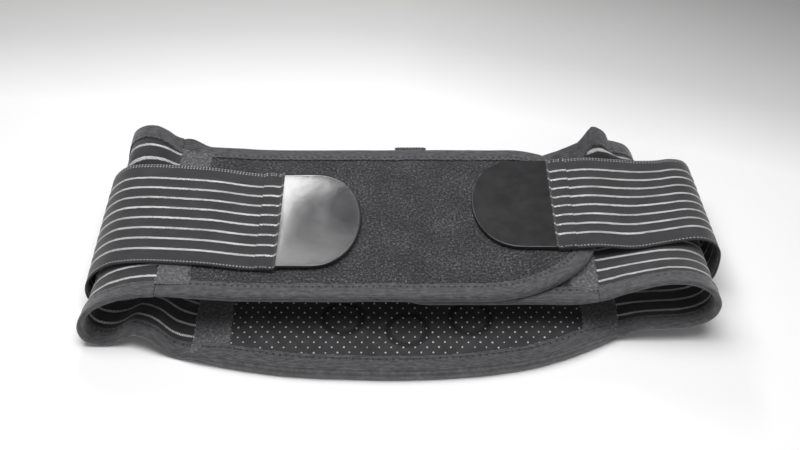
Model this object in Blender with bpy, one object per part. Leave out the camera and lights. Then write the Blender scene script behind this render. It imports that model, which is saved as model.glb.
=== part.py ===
"""Lumbar support belt, fastened and lying as a flattened loop with its front upwards.

The belt is one long band: outer front panel, left elastic wing, padded back, right elastic
wing and inner front panel, which lies under the outer one. Two elastic pull straps start at
an anchor on the outside of the back, run round the folds and end in moulded tabs that are
pressed on to the front. X runs across the body, Y from the belt's lower edge, which is the
near one, to its upper edge, and Z up from the table. Sizes are in millimetres.
"""

import math

import bmesh
import bpy
from mathutils import Vector

MM = 0.001
GAP = 0.3
MIDDLE = Vector((1.5, 5.38, 0.0))  # middle of the belt's box in plan, which becomes the origin
WELD = 0.000005  # metres

# Cloth and trim
WING_THICK = 2.0
STRAP_THICK = 1.6
BINDING_THICK = 0.6
BINDING_WIDTH = 11.0
LINING = (-0.9, 0.4)
FOAM = (0.7, 1.8)
OUTER_PILE = (2.1, 3.4)
INNER_PILE = (2.1, 3.0)
SEAM_FACE = 3.4

# Outer front panel: plan outline, with an elliptical corner at each end of the tip
FRONT_SEAM_X = (-158.0, -138.0)
FRONT_TIP_X = 134.0
FRONT_NEAR_Y, FRONT_FAR_Y = -70.1, 75.1
FRONT_NEAR_CORNER = (51.0, -5.0)
FRONT_FAR_CORNER = (77.0, 25.0)

# Hook patch under the outer panel's tip
HOOK_PATCH_X = (20.0, 105.0)
HOOK_PATCH_MARGIN = 18.0
HOOK_PATCH_Z = (36.9, 38.4)

# Inner front panel
INNER_SEAM_X = (113.0, 130.0)
INNER_TIP_X = -20.0
INNER_NEAR_Y, INNER_FAR_Y = -67.1, 73.1
INNER_CORNER = 40.0

# Back
BACK_X = (-135.0, 145.0)
BACK_NEAR = [(-135, -89.1), (-110, -95.0), (-90, -98.4), (-65, -101.5), (-16, -104.0), (32, -102.6),
             (78, -96.6), (105, -88.4), (125, -79.6), (145, -70.1)]
BACK_FAR = [(-135, 79.1), (-100, 88.5), (-65, 95.0), (-30, 98.8), (5, 100.1), (40, 98.8), (75, 95.0),
            (110, 88.5), (145, 79.1)]
WING_NEAR = {"left": -75.1, "right": -70.1}
WING_FAR = 79.1
LINING_X = (-114.0, 124.0)
SHELL_Z = (1.9, 3.4)
CORE_Z = (3.7, 8.7)
BACK_LINING_Z = (9.0, 10.5)

HANG_TAB_X = (-4.0, 20.0)
HANG_TAB_END_Y, HANG_TAB_Z, HANG_TAB_THICK = 115.5, 7.0, 6.0

# Stays and magnets inside the back
STAY_X = (-75.0, -16.5, 26.0, 85.0)
STAY_HALF_LENGTH = 74.0
STAY_WIDTH, STAY_THICK = 10.0, 1.0
SLEEVE_WIDTH, SLEEVE_THICK, SLEEVE_WALL = 13.0, 2.4, 0.4
MAGNET_X = (-38.0, 5.0, 47.0)
MAGNET_ROW_Y = (-60.0, 0.0, 60.0)
MAGNET_MIDDLE_DROP = 10.0
MAGNET_R, MAGNET_THICK = 11.0, 3.0

# Pull straps and tabs
STRAP_PEEL_X = {"left": -130.0, "right": 155.0}
TAB_X = {"left": -83.0, "right": 106.0}
TAB_LENGTH = 56.0
TAB_HALF_WIDTH = {"left": 45.0, "right": 43.8}
TAB_MIDDLE_Y = {"left": -2.0, "right": 14.6}
TAB_Z = (45.2, 47.8)
HOOK_Z = (43.3, 44.9)
HOOK_MARGIN = 5.0
HEM_LENGTH = 13.0
HEM_N = (1.9, 2.5)
ANCHOR_HALF_WIDTH = 25.0
ANCHOR_Y = (-40.0, 52.0)

# Side-on sections of the band, as (x, z) of its inner face, from the tip of a front panel
# round the fold to the back, each at the y it is taken at
OUTER_FRONT = [(134, 39.6), (60, 39.6), (-20, 39.6), (-92, 39.6)]
LEFT_BAND = [
    (-75, OUTER_FRONT + [(-116, 40.8), (-138, 42.6), (-158, 43.8), (-173, 43.4), (-187, 40.0),
                         (-199, 34), (-207, 25), (-210.3, 15), (-207.5, 6.5), (-199, 3.3), (-188, 6.4),
                         (-176, 13.4), (-163, 13.4), (-150, 5.2), (-134, 6.4), (-116, 6.4)]),
    (-60, OUTER_FRONT + [(-116, 40.8), (-138, 42.8), (-158, 43.8), (-173, 43.2), (-187, 39.4),
                         (-198.5, 32.6), (-205.5, 24), (-208, 14.6), (-204, 7.4), (-196, 4.4), (-187, 6.8),
                         (-176, 14.6), (-163, 15.0), (-150, 7.2), (-134, 6.4), (-116, 6.4)]),
    (-25, OUTER_FRONT + [(-116, 41.0), (-138, 43.2), (-158, 44.6), (-173, 44.3), (-187, 41.0),
                         (-197, 34.4), (-203, 25.2), (-205, 15.8), (-201, 9.2), (-191, 7.0), (-180, 8.2),
                         (-169, 10.2), (-157, 9.2), (-146, 7.0), (-134, 6.4), (-116, 6.4)]),
    (44, OUTER_FRONT + [(-116, 41.2), (-138, 44.0), (-158, 46.0), (-173, 46.6), (-187, 44.2),
                        (-196, 37.6), (-201, 28.2), (-202.8, 18.2), (-199.2, 10.3), (-190, 7.4), (-180, 8.2),
                        (-169, 10.6), (-157, 9.2), (-146, 7.0), (-134, 6.4), (-116, 6.4)]),
    (55, OUTER_FRONT + [(-116, 41.3), (-138, 44.2), (-158, 45.4), (-171, 53.0), (-182, 55.4),
                        (-191, 51.5), (-196, 41.5), (-198.5, 29), (-196.5, 16.5), (-188, 9.0), (-180, 8.2),
                        (-169, 10.6), (-157, 9.2), (-146, 7.0), (-134, 6.4), (-116, 6.4)]),
    (79, OUTER_FRONT + [(-116, 41.4), (-138, 44.6), (-158, 49.6), (-170, 58.4), (-181, 61.0),
                        (-190, 56.5), (-193.8, 46), (-195, 34), (-194, 22), (-189.5, 12), (-180, 8.2),
                        (-169, 10.6), (-157, 9.2), (-146, 7.0), (-134, 6.4), (-116, 6.4)]),
]
INNER_FRONT = [(-20, 33.5), (40, 33.5), (90, 33.5)]
RIGHT_BAND = [
    (-69, INNER_FRONT + [(112, 33.5), (130, 35.6), (146, 44.2), (161, 50.4), (176, 54.0), (190, 52.4),
                         (200.5, 45.6), (205.8, 36), (205, 26), (198.5, 19), (188, 15.4), (174, 14.2),
                         (160, 12.6), (147, 6.8), (138, 6.4), (127, 6.4)]),
    (-56, INNER_FRONT + [(112, 33.5), (130, 35.2), (146, 42.0), (161, 47.4), (176, 51.0), (190, 50.0),
                         (200.5, 44), (205.5, 34.5), (205, 24.5), (198.8, 17.5), (188, 13.6), (174, 12.4),
                         (160, 10.6), (147, 6.7), (138, 6.4), (127, 6.4)]),
    (-30, INNER_FRONT + [(112, 33.5), (130, 34.6), (146, 38.6), (161, 42.8), (176, 46.0), (190, 45.8),
                         (200.3, 40.4), (205, 31.5), (204.6, 22), (198.8, 14.8), (188, 11), (174, 9.6),
                         (160, 8.4), (147, 6.6), (138, 6.4), (127, 6.4)]),
    (57, INNER_FRONT + [(112, 33.5), (130, 34.4), (145, 37.8), (158, 40.0), (170, 40.4), (183, 40.2),
                        (193, 37.2), (198.5, 30), (199, 22), (193.5, 14.6), (183, 10.4), (171, 8.8),
                        (159, 8.0), (147, 6.6), (138, 6.4), (127, 6.4)]),
    (66, INNER_FRONT + [(112, 33.5), (130, 34.6), (138, 44.0), (144, 49.5), (149.5, 48), (155, 44.5),
                        (162, 43), (169, 39.5), (174, 32), (175.5, 22), (171.5, 13.5), (166, 9.6),
                        (157, 7.8), (147, 6.6), (138, 6.4), (127, 6.4)]),
    (79, INNER_FRONT + [(112, 33.5), (130, 35.4), (136.5, 49.5), (142, 58.6), (147, 55), (150.5, 47.8),
                        (157, 45.8), (164, 42.6), (169, 34.5), (170.5, 24), (168, 14.5), (163, 10),
                        (156, 8), (147, 6.6), (138, 6.4), (127, 6.4)]),
]
# The same for the straps' inner faces, from the tab to the anchor
STRAP_LEVEL = 44.2
UNDER = STRAP_THICK
LEFT_STRAP = [
    (-50, [(-83, STRAP_LEVEL), (-105, 45.2), (-130, 47.8), (-158, 48.6), (-176, 47.4), (-191, 43.6),
           (-202, 36.5), (-209, 27), (-211.5, 17), (-209.5, 8.5), (-202, 3.9), (-190, 2.0),
           (-165, UNDER), (-100, UNDER), (-25, UNDER)]),
    (50, [(-83, STRAP_LEVEL), (-105, 46.0), (-130, 50.0), (-158, 52.0), (-176, 52.6), (-191, 50.4),
          (-201, 43.5), (-206.5, 33.5), (-208.5, 21), (-205.5, 10), (-198, 4.2), (-186, 2.1),
          (-163, UNDER), (-100, UNDER), (-25, UNDER)]),
]
RIGHT_STRAP = [
    (-29, [(106, STRAP_LEVEL), (130, 47.4), (155, 45.6), (170, 48.2), (184, 51.6), (197, 53.8),
           (207, 51.0), (213, 43), (214.6, 32), (213.6, 19), (208.5, 8.5), (200, 4.0), (187, 2.1),
           (160, UNDER), (100, UNDER), (25, UNDER)]),
    (61, [(106, STRAP_LEVEL), (130, 48.2), (155, 46.4), (170, 44.4), (184, 44.4), (195, 46.0),
          (204, 43.8), (209.5, 36.5), (211, 27), (209.2, 15), (204.5, 7.8), (196, 4.0), (184, 2.1),
          (158, UNDER), (100, UNDER), (25, UNDER)]),
]
STRAP_LEFT_Y = ((-49.0, 45.0), (-43.0, 48.5))
STRAP_RIGHT_Y = ((-29.5, 59.5), (-29.0, 61.0))

# Places on the sections, counted in section points
LEFT_FOLD_START, LEFT_WING_END = 6.0, 19.0
RIGHT_FOLD_START, RIGHT_WING_END = 4.0, 18.0
LEFT_BACK_EDGE, RIGHT_BACK_EDGE = 17.9, 16.15
RIGHT_STRAP_HINGE = 8.0
WING_START, WING_BINDING_START = 0.02, 0.08
HEM_START = 0.04
STRAP_SLIT = 0.012
LEFT_SPREAD_START = 15.0  # from here to the back the left wing's near edge runs outwards
WING_FAR_RAMP = 1.5
WING_COLUMNS_Y = {"left": (-44.0, -25.0, 10.0, 44.0, 49.5, 55.0, 61.0),
                  "right": (-43.0, -30.0, 14.0, 57.0, 61.5)}

FINISHES = {
    "elastic": ((0.035, 0.036, 0.040), 0.75, 0.0),
    "pile": ((0.030, 0.030, 0.033), 0.95, 0.0),
    "lining": ((0.040, 0.040, 0.044), 0.85, 0.0),
    "binding": ((0.060, 0.062, 0.068), 0.80, 0.0),
    "seam": ((0.110, 0.112, 0.120), 0.90, 0.0),
    "foam": ((0.120, 0.120, 0.125), 0.95, 0.0),
    "hook": ((0.020, 0.020, 0.022), 0.70, 0.0),
    "tab": ((0.025, 0.025, 0.027), 0.25, 0.0),
    "steel": ((0.550, 0.560, 0.580), 0.35, 1.0),
    "magnet": ((0.160, 0.160, 0.170), 0.45, 1.0),
}


# ---------------------------------------------------------------- curves and surfaces

def spline(points, u):
    """The point at u, counted in points, on a smooth curve through all the points."""
    last = len(points) - 1
    i = min(max(int(u), 0), last - 1)
    t = u - i
    a, b, c, d = (points[min(max(k, 0), last)] for k in (i - 1, i, i + 1, i + 2))
    return tuple(
        b[k] + 0.5 * t * (c[k] - a[k]
                          + t * (2 * a[k] - 5 * b[k] + 4 * c[k] - d[k]
                                 + t * (3 * (b[k] - c[k]) + d[k] - a[k])))
        for k in (0, 1))


def mix(a, b, t):
    return tuple(p + (q - p) * t for p, q in zip(a, b))


class Band:
    """A band of cloth lofted through side-on sections, with an outward normal."""

    def __init__(self, sections, turn):
        self.sections = sections
        self.turn = turn

    def section(self, u, y):
        """(x, z) of the inner face at u on the sections and y across the band."""
        ys = [place for place, _ in self.sections]
        last = len(ys) - 1
        k = max(i for i in range(last) if i == 0 or y >= ys[i])
        here = [spline(self.sections[i][1], u) for i in (max(k - 1, 0), k, k + 1, min(k + 2, last))]
        before, span, after = ys[k] - ys[max(k - 1, 0)], ys[k + 1] - ys[k], ys[min(k + 2, last)] - ys[k + 1]
        beyond = (y - ys[k]) / span
        t = min(max(beyond, 0.0), 1.0)
        values = []
        for a, b, c, d in zip(*here):
            slope_b = (c - a) / (before + span) * span
            slope_c = (d - b) / (span + after) * span
            values.append(b + t * slope_b
                          + t * t * (3 * (c - b) - 2 * slope_b - slope_c)
                          + t * t * t * (2 * (b - c) + slope_b + slope_c)
                          + (beyond - t) * (slope_b if beyond < 0 else slope_c))
        return tuple(values)

    def place(self, u, y, n):
        """The point n outwards of the inner face, in millimetres."""
        x, z = self.section(u, y)
        ahead, behind = self.section(u + 0.02, y), self.section(u - 0.02, y)
        tx, tz = ahead[0] - behind[0], ahead[1] - behind[1]
        length = math.hypot(tx, tz)
        return Vector((x + self.turn * n * tz / length, y, z - self.turn * n * tx / length))

    def at_x(self, x, low=0.0, high=7.0):
        """Where the front stretch of the band reaches x."""
        for _ in range(40):
            middle = (low + high) / 2
            short = self.turn * (self.section(middle, 0)[0] - x) > 0
            low, high = (middle, high) if short else (low, middle)
        return (low + high) / 2

    def place_at_x(self, x, y, n):
        return self.place(self.at_x(x), y, n)


LEFT = Band(LEFT_BAND, 1)
RIGHT = Band(RIGHT_BAND, -1)
STRAP = {"left": Band(LEFT_STRAP, 1), "right": Band(RIGHT_STRAP, -1)}


def flat(x, y, z):
    """The place of a point in the flat stack of the back."""
    return Vector((x, y, z))


def ramp(start, end, low, high):
    """A function of u that goes from start to end between low and high."""
    def value(u):
        t = min(max((u - low) / (high - low), 0.0), 1.0)
        return start + (end - start) * t
    return value


def samples(low, high, count):
    return [low + (high - low) * i / count for i in range(count + 1)]


def steps(low, high, step):
    """Multiples of step from low to high, with low and high themselves at the ends."""
    inside = [i * step for i in range(math.ceil(low / step), math.floor(high / step) + 1)]
    inside = [u for u in inside if low + step / 4 < u < high - step / 4]
    return [low, *inside, high]


# ---------------------------------------------------------------- mesh builders

def make_object(name, verts, faces, finish, smooth=False):
    """An object from points in millimetres, with its faces turned outwards and its own material."""
    mesh = bpy.data.meshes.new(name)
    mesh.from_pydata([(Vector(v) - MIDDLE) * MM for v in verts], [], faces)
    work = bmesh.new()
    work.from_mesh(mesh)
    bmesh.ops.recalc_face_normals(work, faces=work.faces)
    work.to_mesh(mesh)
    work.free()
    if smooth:
        mesh.shade_smooth()
        mesh.set_sharp_from_angle(angle=math.radians(40))
    colour, roughness, metallic = FINISHES[finish]
    material = bpy.data.materials.new(name)
    material.use_nodes = True
    shader = material.node_tree.nodes["Principled BSDF"]
    shader.inputs["Base Color"].default_value = (*colour, 1)
    shader.inputs["Roughness"].default_value = roughness
    shader.inputs["Metallic"].default_value = metallic
    mesh.materials.append(material)
    thing = bpy.data.objects.new(name, mesh)
    bpy.context.scene.collection.objects.link(thing)
    return thing


def split(verts, a, b, c, d):
    """The two triangles of a four-cornered face, cut from the lower y of side ab to the higher
    y of side dc, so that cloth and the binding round it are cut alike where they twist."""
    if verts[a][1] <= verts[b][1]:
        return [(a, b, c), (a, c, d)]
    return [(a, b, d), (b, c, d)]


def sheet(name, place, rows, y_low, y_high, n_low, n_high, finish, columns=4, inside=None):
    """A sheet of even thickness. rows are places along it, and place(row, y, n) is a point.
    Its columns are spaced evenly, or lie at the y values that inside gives between the edges."""
    verts, faces = [], []
    columns = columns if inside is None else len(inside(rows[0])) + 1
    for row in rows:
        ys = samples(y_low(row), y_high(row), columns)
        if inside is not None:
            ys = [y_low(row), *inside(row), y_high(row)]
        verts += [place(row, y, n_low) for y in ys] + [place(row, y, n_high) for y in ys]
    wide = columns + 1
    ring = 2 * wide
    for r in range(len(rows) - 1):
        a = r * ring
        b = a + ring
        for c in range(columns):
            for side in (0, wide):
                faces += split(verts, a + side + c, a + side + c + 1, b + side + c + 1, b + side + c)
        faces.append((a, b, b + wide, a + wide))
        faces.append((a + columns, a + wide + columns, b + wide + columns, b + columns))
    for a in (0, (len(rows) - 1) * ring):
        faces += [(a + c, a + c + 1, a + wide + c + 1, a + wide + c) for c in range(columns)]
    return make_object(name, verts, faces, finish, smooth=True)


def sweep(name, rings, finish, closed=False):
    """A solid through rings of equally many points, capped at both ends unless closed."""
    count = len(rings[0])
    verts = [p for ring in rings for p in ring]
    faces = []
    for r in range(len(rings) - (0 if closed else 1)):
        a, b = r * count, (r + 1) % len(rings) * count
        for k in range(count):
            faces += split(verts, a + k, a + (k + 1) % count, b + (k + 1) % count, b + k)
    if not closed:
        faces += [tuple(range(count)), tuple((len(rings) - 1) * count + k for k in range(count))]
    return make_object(name, verts, faces, finish, smooth=True)


def binding_profile(n_low, n_high):
    """Cross-section of a binding tape folded over an edge, as (distance in from the edge, n)."""
    near, far = -GAP, -GAP - BINDING_THICK
    low, high = n_low - GAP, n_high + GAP
    return [(BINDING_WIDTH, high + BINDING_THICK), (far, high + BINDING_THICK),
            (far, low - BINDING_THICK), (BINDING_WIDTH, low - BINDING_THICK),
            (BINDING_WIDTH, low), (near, low), (near, high), (BINDING_WIDTH, high)]


def wing_binding(name, band, rows, edge, inward):
    """Binding along one edge of a wing. edge(u) is the edge's y, and inward is +1 or -1."""
    profile = binding_profile(0, WING_THICK)
    return sweep(name, [[band.place(u, edge(u) + inward * d, n) for d, n in profile] for u in rows],
                 "binding")


def outline_binding(name, place, outline, n_low, n_high):
    """Binding round an outline in plan, which runs with the cloth on its left."""
    profile = binding_profile(n_low, n_high)
    rings = []
    for i, (x, y) in enumerate(outline):
        before, after = outline[max(i - 1, 0)], outline[min(i + 1, len(outline) - 1)]
        dx, dy = after[0] - before[0], after[1] - before[1]
        if i in (0, len(outline) - 1):
            dy = 0
        length = math.hypot(dx, dy)
        rings.append([place(x - dy / length * d, y + dx / length * d, n) for d, n in profile])
    return sweep(name, rings, "binding")


def plate(name, outline, z_low, z_high, finish, inset=0.0):
    """A flat plate of an outline in plan, with both rims drawn in by inset."""
    cx = sum(p[0] for p in outline) / len(outline)
    cy = sum(p[1] for p in outline) / len(outline)
    reach = max(math.hypot(x - cx, y - cy) for x, y in outline)
    small = [(cx + (x - cx) * (1 - inset / reach), cy + (y - cy) * (1 - inset / reach))
             for x, y in outline]
    levels = [(z_low, outline), (z_high, outline)]
    if inset:
        levels = [(z_low, small), (z_low + inset, outline), (z_high - inset, outline), (z_high, small)]
    return sweep(name, [[Vector((x, y, z)) for x, y in shape] for z, shape in levels], finish)


def round_outline(x, y, radius, count):
    return [(x + radius * math.cos(2 * math.pi * i / count), y + radius * math.sin(2 * math.pi * i / count))
            for i in range(count)]


def box_outline(x_low, x_high, y_low, y_high):
    return [(x_low, y_low), (x_high, y_low), (x_high, y_high), (x_low, y_high)]


def cut(thing, cutters):
    """Removes the cutters' shapes from thing and leaves the result in its mesh."""
    for cutter in cutters:
        cutter.hide_render = True
        cutter.display_type = "WIRE"
        change = thing.modifiers.new("cut", "BOOLEAN")
        change.operation = "DIFFERENCE"
        change.solver = "EXACT"
        change.object = cutter
    view = bpy.context.evaluated_depsgraph_get()
    solid = bpy.data.meshes.new_from_object(thing.evaluated_get(view))
    work = bmesh.new()
    work.from_mesh(solid)
    bmesh.ops.remove_doubles(work, verts=work.verts, dist=WELD)
    work.to_mesh(solid)
    work.free()
    thing.modifiers.clear()
    thing.data = solid
    for cutter in cutters:
        bpy.data.objects.remove(cutter)


# ---------------------------------------------------------------- front panels

def quarter(corner, start, end, count):
    """A quarter of an ellipse round corner, from point start to point end."""
    cx, cy = corner
    points = []
    for i in range(count + 1):
        t = math.pi / 2 * i / count
        points.append((cx + (start[0] - cx) * math.cos(t) + (end[0] - cx) * math.sin(t),
                       cy + (start[1] - cy) * math.cos(t) + (end[1] - cy) * math.sin(t)))
    return points


def front_outline():
    """The outer panel's edge in plan, from the seam along the near edge and back."""
    (nx, ny), (fx, fy) = FRONT_NEAR_CORNER, FRONT_FAR_CORNER
    start = [(FRONT_SEAM_X[1], FRONT_NEAR_Y), (-116, FRONT_NEAR_Y), (-92, FRONT_NEAR_Y), (-20, FRONT_NEAR_Y)]
    near = quarter((nx, ny), (nx, FRONT_NEAR_Y), (FRONT_TIP_X, ny), 12)
    far = quarter((fx, fy), (FRONT_TIP_X, fy), (fx, FRONT_FAR_Y), 10)
    return start + near + far + [(x, FRONT_FAR_Y) for x, _ in reversed(start)]


def inner_outline():
    """The inner panel's edge in plan, from the seam along the far edge and back."""
    x = INNER_TIP_X + INNER_CORNER
    far = quarter((x, INNER_FAR_Y - INNER_CORNER), (x, INNER_FAR_Y),
                  (INNER_TIP_X, INNER_FAR_Y - INNER_CORNER), 7)
    near = quarter((x, INNER_NEAR_Y + INNER_CORNER), (INNER_TIP_X, INNER_NEAR_Y + INNER_CORNER),
                   (x, INNER_NEAR_Y), 7)
    seam = INNER_SEAM_X[0]
    return [(seam, INNER_FAR_Y), (90, INNER_FAR_Y)] + far + near + [(90, INNER_NEAR_Y), (seam, INNER_NEAR_Y)]


def edge_at(outline, x, lowest):
    """The lowest or highest y of an outline at x."""
    found = []
    for (x0, y0), (x1, y1) in zip(outline, outline[1:]):
        if min(x0, x1) - 1e-6 <= x <= max(x0, x1) + 1e-6:
            found += [y0, y1] if abs(x1 - x0) < 1e-6 else [y0 + (y1 - y0) * (x - x0) / (x1 - x0)]
    return min(found) if lowest else max(found)


def panel(name, place, outline, n_low, n_high, finish, margin=0.0):
    """One layer of a front panel, filled in between the near and far edges of its outline."""
    rows = sorted({round(x, 4) for x, _ in outline})
    if margin:
        rows = [x for x in rows if min(rows) + margin < x < max(rows) - margin]
    return sheet(name, place, rows,
                 lambda x: edge_at(outline, x, True) + margin,
                 lambda x: edge_at(outline, x, False) - margin, n_low, n_high, finish)


def wing_columns(side, near, far):
    """The y values between a wing's edges that its columns, and its seam strip's, run along."""
    return [near + BINDING_WIDTH, *WING_COLUMNS_Y[side], far - BINDING_WIDTH]


def build_outer_front():
    outline = front_outline()
    place = LEFT.place_at_x
    low, high = FRONT_SEAM_X[0], FRONT_SEAM_X[1] - GAP
    seam = sheet("front_seam_strip", place, [low, -148, high],
                 lambda x: FRONT_NEAR_Y, lambda x: FRONT_FAR_Y, 0, SEAM_FACE, "seam",
                 inside=lambda x: wing_columns("left", FRONT_NEAR_Y, FRONT_FAR_Y))
    patch_low = HOOK_PATCH_X[0]
    patch = sheet("front_hook_patch", flat, samples(patch_low, HOOK_PATCH_X[1], 4),
                  lambda x: edge_at(outline, x, True) + HOOK_PATCH_MARGIN,
                  lambda x: edge_at(outline, x, False) - HOOK_PATCH_MARGIN,
                  *HOOK_PATCH_Z, "hook")
    return [
        seam, patch,
        panel("front_pile", place, outline, *OUTER_PILE, "pile"),
        panel("front_foam", place, outline, *FOAM, "foam"),
        panel("front_lining", place, outline, *LINING, "lining"),
        outline_binding("front_binding", place, outline, LINING[0], OUTER_PILE[1]),
    ]


def build_inner_front():
    outline = inner_outline()
    place = RIGHT.place_at_x
    low, high = INNER_SEAM_X[0] + GAP, INNER_SEAM_X[1]
    seam = sheet("inner_seam_strip", place, [low, 121.5, high],
                 lambda x: INNER_NEAR_Y, lambda x: INNER_FAR_Y, 0, INNER_PILE[1], "seam",
                 inside=lambda x: wing_columns("right", INNER_NEAR_Y, INNER_FAR_Y))
    return [
        seam,
        panel("inner_pile", place, outline, *INNER_PILE, "pile"),
        panel("inner_foam", place, outline, *FOAM, "foam"),
        panel("inner_lining", place, outline, *LINING, "lining"),
        outline_binding("inner_binding", place, outline, LINING[0], INNER_PILE[1]),
    ]


# ---------------------------------------------------------------- wings

def build_wing(side):
    """An elastic wing with a binding tape on each edge, from the front seam round to the back."""
    if side == "left":
        band, start, end, back_edge = LEFT, LEFT_FOLD_START, LEFT_WING_END, LEFT_BACK_EDGE
        across = ramp(FRONT_NEAR_Y, WING_NEAR["left"], start, start + 6)
        spread = ramp(0, BACK_NEAR[0][1] - WING_NEAR["left"], LEFT_SPREAD_START, back_edge)
        far = ramp(FRONT_FAR_Y, WING_FAR, start, start + WING_FAR_RAMP)

        def near(u):
            return across(u) + spread(u)
    else:
        band, start, end, back_edge = RIGHT, RIGHT_FOLD_START, RIGHT_WING_END, RIGHT_BACK_EDGE
        near = ramp(INNER_NEAR_Y, WING_NEAR["right"], start, start + 6)
        far = ramp(INNER_FAR_Y, WING_FAR, start, start + WING_FAR_RAMP)
    bound = steps(start + WING_BINDING_START, back_edge, 0.5)
    rows = [start + WING_START, *bound, *steps(back_edge, end, 0.5)[1:]]
    return [
        sheet(f"wing_{side}", band.place, rows, near, far, 0, WING_THICK, "elastic",
              inside=lambda u: wing_columns(side, near(u), far(u))),
        wing_binding(f"wing_{side}_binding_near", band, bound, near, 1),
        wing_binding(f"wing_{side}_binding_far", band, bound, far, -1),
    ]


# ---------------------------------------------------------------- back

def back_edge_y(x, edge):
    """The y of the back's near or far edge, on the line through the points of edge."""
    for (x0, y0), (x1, y1) in zip(edge, edge[1:]):
        if x <= x1 or x1 == edge[-1][0]:
            return y0 + (y1 - y0) * (x - x0) / (x1 - x0)


def back_edge(x_low, x_high, edge):
    """The stretch of one of the back's edges between two places along it."""
    inside = [(x, y) for x, y in edge if x_low < x < x_high]
    return [(x_low, back_edge_y(x_low, edge)), *inside, (x_high, back_edge_y(x_high, edge))]


def back_layer(name, x_low, x_high, levels, finish):
    outline = back_edge(x_low, x_high, BACK_NEAR) + back_edge(x_low, x_high, BACK_FAR)[::-1]
    return plate(name, outline, *levels, finish)


def back_seam(side):
    """The tape that covers the step from the lining down to the wing."""
    lining, edge = (LINING_X[0], BACK_X[0]) if side == "left" else (LINING_X[1], BACK_X[1])
    out = -1 if side == "left" else 1
    low = {lining + out * GAP: 9.2, lining + out * 4.0: 7.2, lining + out * 9.0: 6.7, edge: 6.7}
    return sheet(f"back_seam_{side}", lambda x, y, n: Vector((x, y, low[x] + n)), list(low),
                 lambda x: back_edge_y(x, BACK_NEAR), lambda x: back_edge_y(x, BACK_FAR), 0, 1.2, "seam")


def magnet_places():
    return [(x, y - (MAGNET_MIDDLE_DROP if x == MAGNET_X[1] else 0)) for y in MAGNET_ROW_Y for x in MAGNET_X]


def build_back():
    core = back_layer("back_core", *LINING_X, CORE_Z, "foam")
    cutters = []
    slack = GAP
    sleeve_top = CORE_Z[0] + SLEEVE_THICK
    pieces = []
    for number, x in enumerate(STAY_X, 1):
        half, length = SLEEVE_WIDTH / 2, STAY_HALF_LENGTH + 4
        cutters.append(plate("cutter", box_outline(x - half - slack, x + half + slack,
                                                   -length - slack, length + slack),
                             CORE_Z[0] - 1, sleeve_top + slack, "foam"))
        pieces += [stay(number, x), sleeve(number, x, half, length)]
    for number, (x, y) in enumerate(magnet_places(), 1):
        floor = CORE_Z[1] - MAGNET_THICK
        cutters.append(plate("cutter", round_outline(x, y, MAGNET_R + slack, 24),
                             floor - slack, CORE_Z[1] + 1, "foam"))
        pieces.append(plate(f"magnet_{number}", round_outline(x, y, MAGNET_R, 24),
                            floor, CORE_Z[1], "magnet"))
    cut(core, cutters)
    return pieces + [
        core,
        back_layer("back_shell", *BACK_X, SHELL_Z, "elastic"),
        back_layer("back_lining", *LINING_X, BACK_LINING_Z, "lining"),
        outline_binding("back_binding_near", flat, BACK_NEAR, SHELL_Z[0], BACK_LINING_Z[1]),
        outline_binding("back_binding_far", flat, BACK_FAR[::-1], SHELL_Z[0], BACK_LINING_Z[1]),
        back_seam("left"), back_seam("right"), build_hang_tab(),
    ]


def stay(number, x):
    """A flat spring-steel stay with round ends."""
    half, straight = STAY_WIDTH / 2, STAY_HALF_LENGTH - STAY_WIDTH / 2
    outline = [(x + half * math.cos(a), sign * straight + half * math.sin(a))
               for sign, turn in ((1, 0), (-1, math.pi))
               for a in samples(turn, turn + math.pi, 6)]
    low = CORE_Z[0] + (SLEEVE_THICK - STAY_THICK) / 2
    return plate(f"stay_{number}", outline, low, low + STAY_THICK, "steel")


def sleeve(number, x, half, length):
    """The flat tube that a stay slides into."""
    low, high = CORE_Z[0], CORE_Z[0] + SLEEVE_THICK
    wall = SLEEVE_WALL
    rings = []
    for y, inner in ((-length, False), (length, False), (length, True), (-length, True)):
        d = wall if inner else 0
        rings.append([Vector((x + sx * (half - d), y, (low + d) if sz < 0 else (high - d)))
                      for sx, sz in ((-1, -1), (1, -1), (1, 1), (-1, 1))])
    return sweep(f"stay_sleeve_{number}", rings, "binding", closed=True)


def build_hang_tab():
    """The folded webbing tab sewn on the middle of the upper edge, with a plump fold at its end."""
    start = max(y for _, y in BACK_FAR) + GAP + BINDING_THICK + GAP
    end, radius, height = HANG_TAB_END_Y, HANG_TAB_THICK / 2, HANG_TAB_Z
    tip = [(end - radius + radius * math.cos(a), height + radius * math.sin(a))
           for a in samples(-math.pi / 2, math.pi / 2, 6)]
    profile = [(start, height - radius / 2), *tip, (start, height + radius / 2)]
    return sweep("hang_tab", [[Vector((x, y, z)) for y, z in profile] for x in HANG_TAB_X], "binding")


# ---------------------------------------------------------------- pull straps

def strap_width(side):
    """The strap's near and far edges, as functions of the place along it."""
    at_tab, at_fold = STRAP_LEFT_Y if side == "left" else STRAP_RIGHT_Y
    return ramp(at_tab[0], at_fold[0], 0, 5), ramp(at_tab[1], at_fold[1], 0, 5)


def strap_piece(name, side, low, high, n_low=0.0, n_high=STRAP_THICK):
    near, far = strap_width(side)
    return sheet(name, STRAP[side].place, steps(low, high, 0.5), near, far, n_low, n_high,
                 "elastic", columns=4)


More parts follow.
